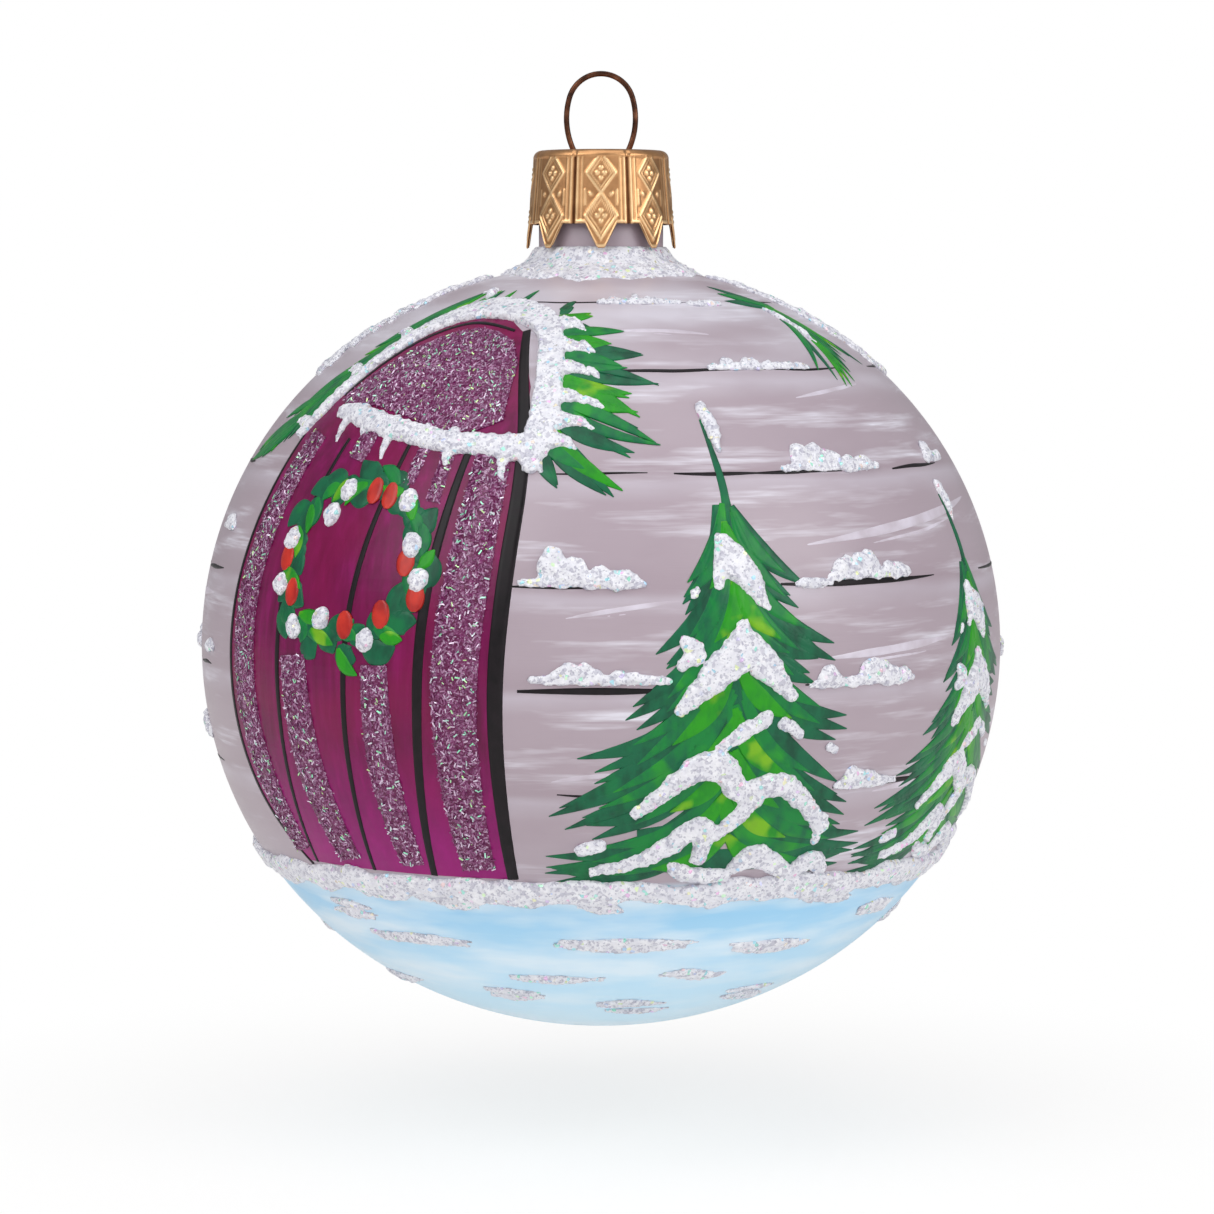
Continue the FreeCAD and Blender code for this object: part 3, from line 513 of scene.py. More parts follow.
# Firs: name, azimuth, height of the tip, breadth of boughs, breadth of snow, seed, and the paste's node.
FIR_TOP = 24.8
FIRS = [("front_fir", 18, FIR_TOP, 1.0, 1.0, 21, "front_tree_snow"),
        ("right_fir", 64, 17.0, 0.86, 0.8, 22, "right_tree_snow"),
        ("left_fir", -104, 16.0, 0.75, 0.72, 23, "back_left_tree_snow"),
        ("back_fir", 178, 20.0, 0.9, 0.88, 24, "back_right_tree_snow")]

# Places round the wreath: (degrees from the right, millimetres outside the ring's middle).
PEARLS = [(108, -0.9), (47, 0), (130, -2.6), (170, 0.4), (12, -1), (-13, 0.2), (-161, 1.2), (-113, -1.6),
          (-131, 1.2), (-70, 0.2)]
BERRIES = [(80, -1.2), (63, -1.0), (-178, 0.5), (-2, -1.6), (-152, -0.3), (-86, -1.6), (-50, -1.2),
           (-24, 0.6)]

BRUSH = section("brush_section", [(-1, -0.1), (-0.75, 0.14), (-0.35, 0.22), (0.35, 0.22), (0.75, 0.14),
                                  (1, -0.1)])
BEAD = section("bead_section", [(math.cos(a) * 1.0, max(SUNK, math.sin(a) * 0.62))
                                for a in (math.radians(d)
                                          for d in (-20, 10, 40, 65, 90, 115, 140, 170, 200))])
GEL_BED = section("gel_section", [(-1, -0.05), (-0.92, 0.09), (0, 0.11), (0.92, 0.09), (1, -0.05)])
SNOW = snow_finish("snow_paste")
GEL = gel_finish()
DARK, MID, LIGHT = (
    bough_finish("dark_green", shade(0, 96, 62), shade(0, 70, 48), shade(0, 120, 60)),
    bough_finish("mid_green", shade(0, 124, 52), shade(0, 96, 60), shade(40, 156, 24)),
    bough_finish("light_green", shade(34, 150, 12), shade(16, 128, 30), shade(150, 196, 20)))
BLACK = plain_finish("black_line", shade(24, 16, 22), shade(10, 6, 10), 0.8, 0.4, Specular_IOR_Level=0.25)


def paint_ball():
    """The ball's own surface: the glass spun from its profile, closed inside at the neck."""
    work = bmesh.new()
    top, bottom = meridian(36.5), -(SIDE_ARC * JOIN + POLE_ARC * (math.pi / 2 - JOIN))
    skin, fine, coarse = -0.002, 0.8, 2.4
    outline = [on_ball(0, y, skin) for y in [bottom + i * fine for i in range(200)] if y < top]
    neck = [(7.6, 37.55), (6.9, 38.3), (6.45, 39.0), (NECK_RADIUS, 39.8)]
    rim = (CAP_TOP - CENTRE_Z) - 0.4
    bore = NECK_RADIUS - GLASS_WALL
    walls = [(NECK_RADIUS, rim), (bore, rim), (bore, 39.6), (NECK_RADIUS - 0.3, 38.6)]
    outline += [Vector((0, -r, z + CENTRE_Z)) * MM for r, z in neck + walls]
    inner = [on_ball(0, y, -GLASS_WALL) for y in [bottom + i * coarse for i in range(80)] if y < top - 1]
    verts = [work.verts.new(p) for p in outline + inner[::-1]]
    for a, b in zip(verts, verts[1:]):
        work.edges.new((a, b))
    spin(work, 192)
    bmesh.ops.remove_doubles(work, verts=work.verts, dist=0.02 * MM)
    bmesh.ops.recalc_face_normals(work, faces=work.faces)
    mesh = mesh_of(work, "painted_ball")
    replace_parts(piece("painted_ball", mesh, wall_finish()), "glass_ball")


def paint_seams():
    """The dark lines between logs, broken and tapered, all the way round."""
    pick = random.Random(4)
    strokes = []
    for height, front in zip(LOG_SEAMS, FRONT_SEAMS):
        parts = list(front)
        turn = 96
        while turn < 268:
            length = pick.uniform(14, 44)
            parts.append((turn, min(turn + length, 274), pick.uniform(0.16, 0.36)))
            turn += length + pick.uniform(2, 26)
        for start, end, width in parts:
            count = max(4, int((end - start) / 5))
            places = []
            for i in range(count):
                x, y = flat(start + (end - start) * i / (count - 1), height)
                places.append((x, y + pick.uniform(-0.14, 0.14)))
            strokes.append((places, taper(count, width * 0.35, width, 0.05)))
    paint("log_seams", strokes, BLACK, lift=0.0)


def paint_light():
    """Long strokes of white, dry-brushed on the logs and rising a little to the right."""
    pick = random.Random(14)
    strokes = []
    places = [(29, 12.0, 75, 15.5, 0.62), (30, 1.6, 57, 2.8, 0.5), (41, -11.4, 63, -10.6, 0.45),
              (-6, 5.6, 12, 7.4, 0.3),
              (-7.6, -9.4, 4, -8.6, 0.3), (-8, -16.6, 2, -16.2, 0.35), (1, 31.6, 28, 31.2,
                                                                        0.4), (35, 25.2, 60, 26.6, 0.3)]
    for _ in range(26):
        start, height = pick.uniform(80, 262), pick.uniform(-17, 32)
        places.append((start, height, start + pick.uniform(12, 38), height + pick.uniform(0.2, 1.8),
                       pick.uniform(0.25, 0.6)))
    for start, low, end, high, width in places:
        run = bowed(flat(start, low), flat(end, high), pick.uniform(-0.03, 0.03), 7)
        strokes.append((run, [width * w for w in (0.15, 0.55, 1.0, 0.9, 1.0, 0.6, 0.1)]))
        trail = [(x + pick.uniform(-1, 3), y - width * 1.5) for x, y in run[1:6]]
        strokes.append((trail, [width * w for w in (0.05, 0.3, 0.35, 0.25, 0.05)]))
    milk = plain_finish("white_dry_brush", shade(214, 207, 220), shade(188, 177, 188), 0.35, 0.4)
    paint("white_brush_light", strokes, milk, lift=-0.03)


def door_outline():
    """The door's edge, as (azimuth, height): up the right side, round the arch and down the left."""
    right, left = DOOR_EDGE
    return [(right, GROUND), (right - 0.6, -5), (right + 0.6, 8), (right + 1.6, 19), (right + 0.5, 26.5),
            (right - 4, 31.2), (right - 13, 33.2), (right - 26, 33.0), (right - 36, 30.4), (-56.5, 26.0),
            (left + 2, 21.5), (left, 11), (left - 1, 2), (left, -7.6), (left + 3.5, -15),
            (left + 8.5, GROUND)]


def cut_patch(name, outline, thickness, spacing=1.2):
    """A patch in the flat drawing, cut into small faces so that it bends, and given a thickness."""
    work = bmesh.new()
    face = work.faces.new([work.verts.new((*flat(*place), 0)) for place in outline])
    xs, ys = [v.co.x for v in face.verts], [v.co.y for v in face.verts]
    for low, high, axis in ((min(xs), max(xs), Vector((1, 0, 0))), (min(ys), max(ys), Vector((0, 1, 0)))):
        cut = low + spacing
        while cut < high:
            bmesh.ops.bisect_plane(work, geom=work.verts[:] + work.edges[:] + work.faces[:],
                                   plane_co=axis * cut, plane_no=axis)
            cut += spacing
    raised = bmesh.ops.extrude_face_region(work, geom=work.faces[:])
    for vert in (g for g in raised["geom"] if isinstance(g, bmesh.types.BMVert)):
        vert.co.z = thickness
    for vert in work.verts:
        if vert.co.z == 0:
            vert.co.z = -0.05
    bmesh.ops.recalc_face_normals(work, faces=work.faces)
    return mesh_of(work, name)


def scatter(name, mesh, density, finish, seed):
    """Cut glitter flakes strewn on a patch of the flat drawing, laid on the ball with it."""
    ground = link(name + "_ground", mesh)
    group = bpy.data.node_groups.new(name, "GeometryNodeTree")
    group.interface.new_socket("Geometry", in_out="INPUT", socket_type="NodeSocketGeometry")
    group.interface.new_socket("Geometry", in_out="OUTPUT", socket_type="NodeSocketGeometry")

    def add(kind, settings=(), values=()):
        return add_node(group, kind, dict(settings), dict(values))

    source = add("NodeGroupInput")
    normal = add("GeometryNodeInputNormal")
    upward = add("ShaderNodeSeparateXYZ", values={"Vector": normal.outputs[0]})
    facing = add("FunctionNodeCompare", dict(data_type="FLOAT", operation="GREATER_THAN"),
                 {0: upward.outputs["Z"], 1: 0.5})
    points = add("GeometryNodeDistributePointsOnFaces", {}, {"Mesh": source.outputs[0], "Density": density,
                                                            "Seed": seed, "Selection": facing.outputs[0]})
    tint = add("FunctionNodeRandomValue", dict(data_type="FLOAT"), {"Seed": seed + 1})
    tinted = add("GeometryNodeStoreNamedAttribute", dict(data_type="FLOAT", domain="POINT"),
                 {"Geometry": points.outputs["Points"], "Name": "tint", "Value": tint.outputs[1]})
    chip = add("GeometryNodeMeshCube", {}, {"Size": FLAKE})
    turn = add("FunctionNodeRandomValue", dict(data_type="FLOAT_VECTOR"),
               {"Min": (-0.5, -0.5, 0), "Max": (0.5, 0.5, 6.283), "Seed": seed + 2})
    scale = add("FunctionNodeRandomValue", dict(data_type="FLOAT"), {2: 0.55, 3: 1.25, "Seed": seed + 3})
    strewn = add("GeometryNodeInstanceOnPoints", {},
                 {"Points": tinted.outputs[0], "Instance": chip.outputs[0],
                                                     "Rotation": turn.outputs[0], "Scale": scale.outputs[1]})
    real = add("GeometryNodeRealizeInstances", {}, {"Geometry": strewn.outputs[0]})
    result = add("NodeGroupOutput")
    group.links.new(real.outputs[0], result.inputs[0])
    ground.modifiers.new("strew", "NODES").node_group = group
    flakes = baked(ground)
    for vert in flakes.vertices:
        vert.co.z += FLAKE_LIFT
    lay_on_ball(flakes)
    piece(name, flakes, finish, smooth=False)


# A glitter flake's size, and how far the flakes stand off the gel.
FLAKE = (0.42, 0.12, 0.06)
FLAKE_LIFT = 0.02
# The door's plank lines, each (azimuth, height) from top to bottom, and its half-width.
PLANK_LINES = [
    ([(-45.5, 21.5), (-47.5, 16), (-49.5, 9), (-49.8, 2), (-49.6, -7), (-50.8, GROUND)], 0.34),
    ([(-32, 21.5), (-33, 18), (-35, 12), (-36.4, 5), (-36.9, -4), (-37.0, -12), (-37.6, GROUND)], 0.36),
    ([(-21, 21), (-23.2, 13), (-24.7, 4), (-25.2, -6), (-26.4, GROUND)], 0.6),
]
# Strips of glitter gel, each (azimuth, height) down its middle, and its half-width.
GEL_STRIPS = [
    ([(-54.0, 21.8), (-57.8, 12), (-58.6, 2), (-57.2, -8), (-53.2, -17.8)], 2.0),
    ([(-46.3, 1.4), (-45.2, -7), (-43.8, -12.5), (-41.8, -18)], 2.1),
    ([(-31.6, 1.0), (-31.4, -6), (-30.8, -12), (-29.6, -18)], 1.8),
    ([(-16.8, 20.5), (-17.9, 11), (-19.4, 4), (-20.0, -6), (-18.6, -18)], 2.45),
]
SHORT_GELS = [([(-41.0, 22.2), (-41.4, 20.6), (-41.8, 19.6)], 1.5), ([(-28.8, 21.2), (-30.0, 17.6)], 0.9),
              ([(-24.4, 20.6), (-25.2, 16.0)], 1.0)]
TRANSOM = [(-16.6, 23.4), (-16.8, 28.6), (-20, 30.6), (-25, 31.5), (-31, 31.8), (-37, 31.4), (-43, 30.3),
           (-49.5, 27.8), (-54.0, 25.0), (-49.0, 24.0), (-44, 24.6), (-36, 23.8), (-27, 22.4), (-21, 22.4)]


def build_door():
    """The door: plum lacquer, black edges and plank lines, and strips of glitter gel."""
    panel = cut_patch("door_panel", door_outline(), PAINT * 0.6)
    lay_on_ball(panel)
    piece("door_panel", panel, door_finish(), smooth=False)
    right, left = DOOR_EDGE
    edges = [
        ([(right - 4.5, 31.6), (right - 0.2, 26), (right + 1.8, 19), (right + 0.4, 9), (right - 0.6, 0),
          (right - 0.6, -9), (right, GROUND)], 0.9),
        ([(-59, 21.8), (left - 0.4, 11), (left - 1.4, 2), (left - 0.4, -7.6), (left + 3.2, -15),
          (left + 9, GROUND - 0.4)], 0.3),
        ([(-54.5, 25.4), (-50, 29.2), (-41.5, 31.8), (-31, 32.6), (-21, 31.6)], 0.3),
    ]
    strokes = [([flat(*p) for p in places], [width * s for s in taper(len(places), 0.8, 1.0, 0.75)])
               for places, width in edges + PLANK_LINES]
    paint("door_black_lines", strokes, BLACK, lift=0.04)
    beds = []
    for places, width in GEL_STRIPS + SHORT_GELS:
        count = len(places)
        beds.append(([flat(*p) for p in places], [width * s for s in taper(count, 0.85, 1.0, 0.8)]))
    bed = stroke_mesh("gel_strips", beds, GEL_BED)
    tidy(bed)
    top = cut_patch("gel_transom", TRANSOM, 0.14, 0.9)
    strew = bed.copy()
    strew_top = top.copy()
    lay_on_ball(bed)
    lay_on_ball(top)
    strips = piece("door_gel_strips", bed, GEL)
    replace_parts(strips, *nodes_like("door_glitter"))
    piece("door_gel_transom", top, GEL, smooth=False)
    specks = speck_finish("lilac_glitter", [(0.0, shade(100, 18, 78)), (0.35, shade(142, 82, 126)),
                                            (0.7, shade(184, 146, 178)), (0.88, shade(230, 214, 234)),
                                            (0.94, shade(150, 236, 200)), (1.0, shade(214, 246, 170))])
    scatter("door_glitter_flakes", strew, 7.5, specks, 3)
    scatter("transom_glitter_flakes", strew_top, 9.0, specks, 9)


def build_wreath():
    """The wreath: leaf strokes round a ring, berries of red paint and pearls of paste."""
    pick = random.Random(11)
    cx, cy = flat(*WREATH)
    rx, ry = 8.3, 7.9

    def spot(turn, out=0.0):
        return cx + (rx + out) * math.cos(turn), cy + (ry + out) * math.sin(turn)

    for name, finish, count, width, lift in (("wreath_dark_leaves", DARK, 40, 1.5, 0.06),
                                             ("wreath_mid_leaves", MID, 13, 0.85, 0.09),
                                             ("wreath_light_leaves", LIGHT, 13, 0.8, 0.12)):
        strokes = []
        for i in range(count):
            turn = 2 * math.pi * (i + pick.uniform(-0.3, 0.3)) / count
            start = spot(turn, pick.uniform(-0.8, 0.9))
            lean = turn + math.pi / 2 + pick.uniform(-0.9, 0.9)
            length = pick.uniform(2.2, 3.6)
            end = (start[0] + length * math.cos(lean), start[1] + length * math.sin(lean))
            strokes.append((bowed(start, end, pick.uniform(-0.25, 0.25), 5),
                            [width * w for w in (0.3, 0.95, 1.0, 0.75, 0.08)]))
        paint(name, strokes, finish, lift=lift)
    strokes = []
    for turn, out in BERRIES:
        x, y = spot(math.radians(turn), out)
        strokes.append(oval(x, y, 1.1, 1.35))
    red = plain_finish("berry_red", shade(206, 44, 22), shade(150, 10, 12), 0.5, 0.35)
    paint("wreath_berries", strokes, red, lift=0.16)
    pearls = []
    for turn, out in PEARLS:
        x, y = spot(math.radians(turn), out)
        pearls.append(oval(x, y, 1.15, 1.2))
    heap("wreath_pearl_dabs", pearls, ["wreath_pearls"], voxel=0.14, roughen=0.12,
         finish=snow_finish("pearl_paste"), seed=5)


def fan(pick, root, tip, count, spread, width, bow=0.0):
    """A bough: strokes from about one root to about one tip."""
    strokes = []
    for i in range(count):
        share = (i / (count - 1) - 0.5) if count > 1 else 0
        start = (root[0] + pick.uniform(-0.4, 0.4),
                 root[1] + share * spread * 0.5 + pick.uniform(-0.4, 0.4))
        end = (tip[0] + pick.uniform(-0.9, 0.9), tip[1] + share * spread + pick.uniform(-0.35, 0.35))
        strokes.append((bowed(start, end, bow + pick.uniform(-0.05, 0.05)),
                        taper(5, width * 0.3, width, 0.05)))
    return strokes


# Boughs of a fir, top to bottom: (height where it leaves the trunk, reach left, drop left, reach right,
# drop right), all in millimetres.
BOUGHS = [
    (15.5, 5.0, 8.5, 6.6, 8.2), (11.0, 7.0, 9.2, 9.6, 8.6), (6.5, 10.0, 10.0, 8.0, 6.0),
    (3.0, 14.0, 11.2, 11.5, 8.0), (-1.0, 17.0, 11.6, 12.5, 10.2), (-5.0, 13.5, 8.6, 14.0, 9.0),
    (-9.0, 19.0, 8.6, 17.0, 7.2), (-13.0, 17.5, 5.2, 14.0, 4.6),
]


def on_fir(azimuth, top, breadth):
    """Turns (across from the trunk, height), as on the front fir, into a place on a fir of this size."""
    tall = (top - GROUND) / (FIR_TOP - GROUND)
    x, _ = flat(azimuth, 0)

    def place(across, height):
        return x + across * breadth, meridian(GROUND + (height - GROUND) * tall)
    return place


def fir(name, azimuth, top, breadth, seed):
    """A fir of brush strokes: dark boughs, mid-green over them, light green inside and a bare tip."""
    pick = random.Random(seed)
    layers = {"dark": [], "mid": [], "light": []}
    place = on_fir(azimuth, top, breadth)
    for height, left, fall_left, right, fall_right in BOUGHS:
        for side, reach, fall in ((-1, left, fall_left), (1, right, fall_right)):
            root, tip = place(side * 0.5, height), place(side * reach, height - fall)
            layers["dark"] += fan(pick, root, tip, 3, 1.9, 1.3 * breadth, -side * 0.14)
            inner = place(side * reach * 0.72, height - fall * 0.85)
            layers["mid"] += fan(pick, root, inner, 2, 1.6, 1.0 * breadth, -side * 0.12)
            near = place(side * reach * 0.42, height - fall * 0.7 - 1)
            layers["light"] += fan(pick, place(0, height - 1.5), near, 1, 1.0, 1.15 * breadth, -side * 0.12)
    for height, reach in ((-6, 5), (-11, 7), (-14.5, 9), (-17.3, 12)):
        layers["dark"].append(([place(-reach, height), place(0, height + 0.4), place(reach, height)],
                               (0.8, 2.2, 0.8)))
    for _ in range(14):
        height = pick.uniform(GROUND + 1.5, 8)
        reach = (12 - height) * 0.22
        spot = place(pick.uniform(-reach, reach), height)
        end = (spot[0] + pick.uniform(-1.5, 1.5), spot[1] - pick.uniform(1.5, 3.5))
        layers[pick.choice(("dark", "mid", "light"))].append((bowed(spot, end, 0.1, 4),
                                                              (0.7, 1.1, 0.9, 0.3)))
    stem = [place(-0.9, 23.5), place(0.1, 19), place(0.3, 15.5), place(0.0, 12)]
    trunk = [place(0.3, 17), place(0, 10), place(0, -2), place(0, -14)]
    layers["dark"] += [(stem, (0.12, 0.5, 0.45, 1.0)), (trunk, (0.3, 1.8, 3.0, 3.0))]
    paint(f"{name}_dark_boughs", layers["dark"], DARK, lift=0.02)
    paint(f"{name}_mid_boughs", layers["mid"], MID, lift=0.06)
    paint(f"{name}_light_boughs", layers["light"], LIGHT, lift=0.1)


def build_firs():
    """The painted firs, two in front and two behind."""
    for name, azimuth, top, breadth, _, seed, _ in FIRS:
        fir(name, azimuth, top, breadth, seed)


def build_sprigs():
    """Pine sprigs: needles fanning from behind the arch's snow, over the shoulder and by the window."""
    pick = random.Random(8)
    layers = {"dark": [], "mid": [], "light": []}

    def needles(root, tip, width, kind):
        layers[kind].append((bowed(flat(*root), flat(*tip), pick.uniform(-0.08, 0.08)),
                             taper(5, width * 0.7, width, 0.06)))

    right_tips = [(-7, 34.0, "dark"), (-2, 33.0, "light"), (-1, 32.0, "dark"), (6, 31.4, "mid"),
                  (2, 30.4, "light"), (9, 29.2, "dark"), (5, 28.2, "mid"), (11, 26.6, "dark"),
                  (6, 25.6, "light"), (7, 24.0, "light"), (6, 22.9, "dark"), (9.6, 21.4, "mid"),
                  (5.5, 20.4, "dark"), (3, 17.4, "light"), (1.5, 16.4, "dark"), (-2, 19.0, "mid"),
                  (-6, 17.5, "dark")]
    for i, (azimuth, height, kind) in enumerate(right_tips):
        share = i / (len(right_tips) - 1)
        root = (-11.5 + 1.5 * math.sin(share * 3), 33.5 - 11.5 * share)
        for _ in range(2):
            needles(root, (azimuth + pick.uniform(-1, 0.4), height + pick.uniform(-0.4, 0.4)),
                    pick.uniform(0.7, 1.15), kind)
    for i in range(34):
        share = i / 33
        root = (-45 - 19 * share, 35.2 - 12 * share)
        tip = (root[0] - pick.uniform(6, 15), root[1] - pick.uniform(2.0, 6.5))
        needles(root, tip, pick.uniform(0.7, 1.1), pick.choice(("dark", "mid", "mid", "light")))
    for azimuth in (-46, -43, -38.5, -34, -26):
        needles((azimuth, 33.6), (azimuth + pick.uniform(-2, 5), 35.4), 0.75, pick.choice(("mid", "light")))
    for across, height in ((59.5, 34.2), (WINDOW + 28, 31.5), (-98, 33.0)):
        for i in range(11):
            tip = (across - 10 + 2.0 * i + pick.uniform(-1, 1), height - 6.4 - 1.6 * math.sin(i * 0.6))
            needles((across + pick.uniform(-3, 1), height), tip, pick.uniform(0.55, 0.9),
                    pick.choice(("dark", "mid", "light", "light")))
        for rise, kind in ((1.6, "dark"), (0.9, "mid"), (0.2, "dark")):
            needles((across + 2, height - 0.4), (across - 17 + 3 * rise, height + rise), 0.95, kind)
    for side in (-1, 1):
        for i in range(22):
            share = i / 21
            root = (WINDOW + side * (17 - 3 * share), 24 - 16 * share)
            tip = (root[0] + side * pick.uniform(6, 14), root[1] + pick.uniform(-5, 1))
            needles(root, tip, pick.uniform(0.5, 0.85), pick.choice(("dark", "mid", "light")))
    for kind, finish, lift in (("dark", DARK, 0.03), ("mid", MID, 0.07), ("light", LIGHT, 0.05)):
        paint(f"sprig_{kind}_needles", layers[kind], finish, lift=lift)


def build_window():
    """The back window: warm panes, dark glazing bars and a sill."""
    outline = [(WINDOW - 14, 3.4), (WINDOW - 14, 15.5), (WINDOW - 11.5, 20.5), (WINDOW - 6, 24),
               (WINDOW, 25.2),
               (WINDOW + 6, 24), (WINDOW + 11.5, 20.5), (WINDOW + 14, 15.5), (WINDOW + 14, 3.4)]
    panes = cut_patch("window_panes", outline, PAINT * 0.6)
    lay_on_ball(panes)
    amber = plain_finish("window_amber", shade(250, 206, 96), shade(226, 150, 50), 0.1, 0.35)
    piece("window_panes", panes, amber, smooth=False)
    frame_round = [flat(*p) for p in outline]
    bars = [(frame_round, [0.5] * len(frame_round)), ([frame_round[-1], frame_round[0]], (0.5, 0.5)),
            ([flat(WINDOW, 3.4), flat(WINDOW, 14), flat(WINDOW, 25)], (0.4, 0.36, 0.34)),
            ([flat(WINDOW - 14, 14), flat(WINDOW, 14.2), flat(WINDOW + 14, 14)], (0.4, 0.36, 0.38))]
    paint("window_black_bars", bars, BLACK, lift=0.03)


def ledge(pick, azimuth, height, width, rise):
    """A dab of snow lying on a seam: a long low bead with humps on its back."""
    x, y = flat(azimuth, height - 0.7)
    shrink = max(0.45, math.cos(meridian(height) / BALL_RADIUS))
    half = width / 2 / shrink
    strokes = [([(x - half, y), (x, y + 0.15), (x + half, y)], (0.42, 0.62, 0.42))]
    hump = x - half * pick.uniform(0.2, 0.7)
    for _ in range(int(width / 1.5) + 1):
        spot = x + half * pick.uniform(-0.8, 0.8)
        size = (0.3 + 0.16 * rise) * pick.uniform(0.8, 1.15)
        lift = (rise - 1.2) * max(0.15, 1 - abs(spot - hump) / half) * pick.uniform(0.6, 1.0)
        strokes.append(([(spot - 0.7, y + lift * 0.4), (spot, y + lift), (spot + 0.8, y + lift * 0.3)],
                        (size * 0.8, size, size * 0.7)))
    return strokes


def bead(places, widths):
    """A bead of paste through places given as (azimuth, height)."""
    return [flat(*p) for p in places], widths


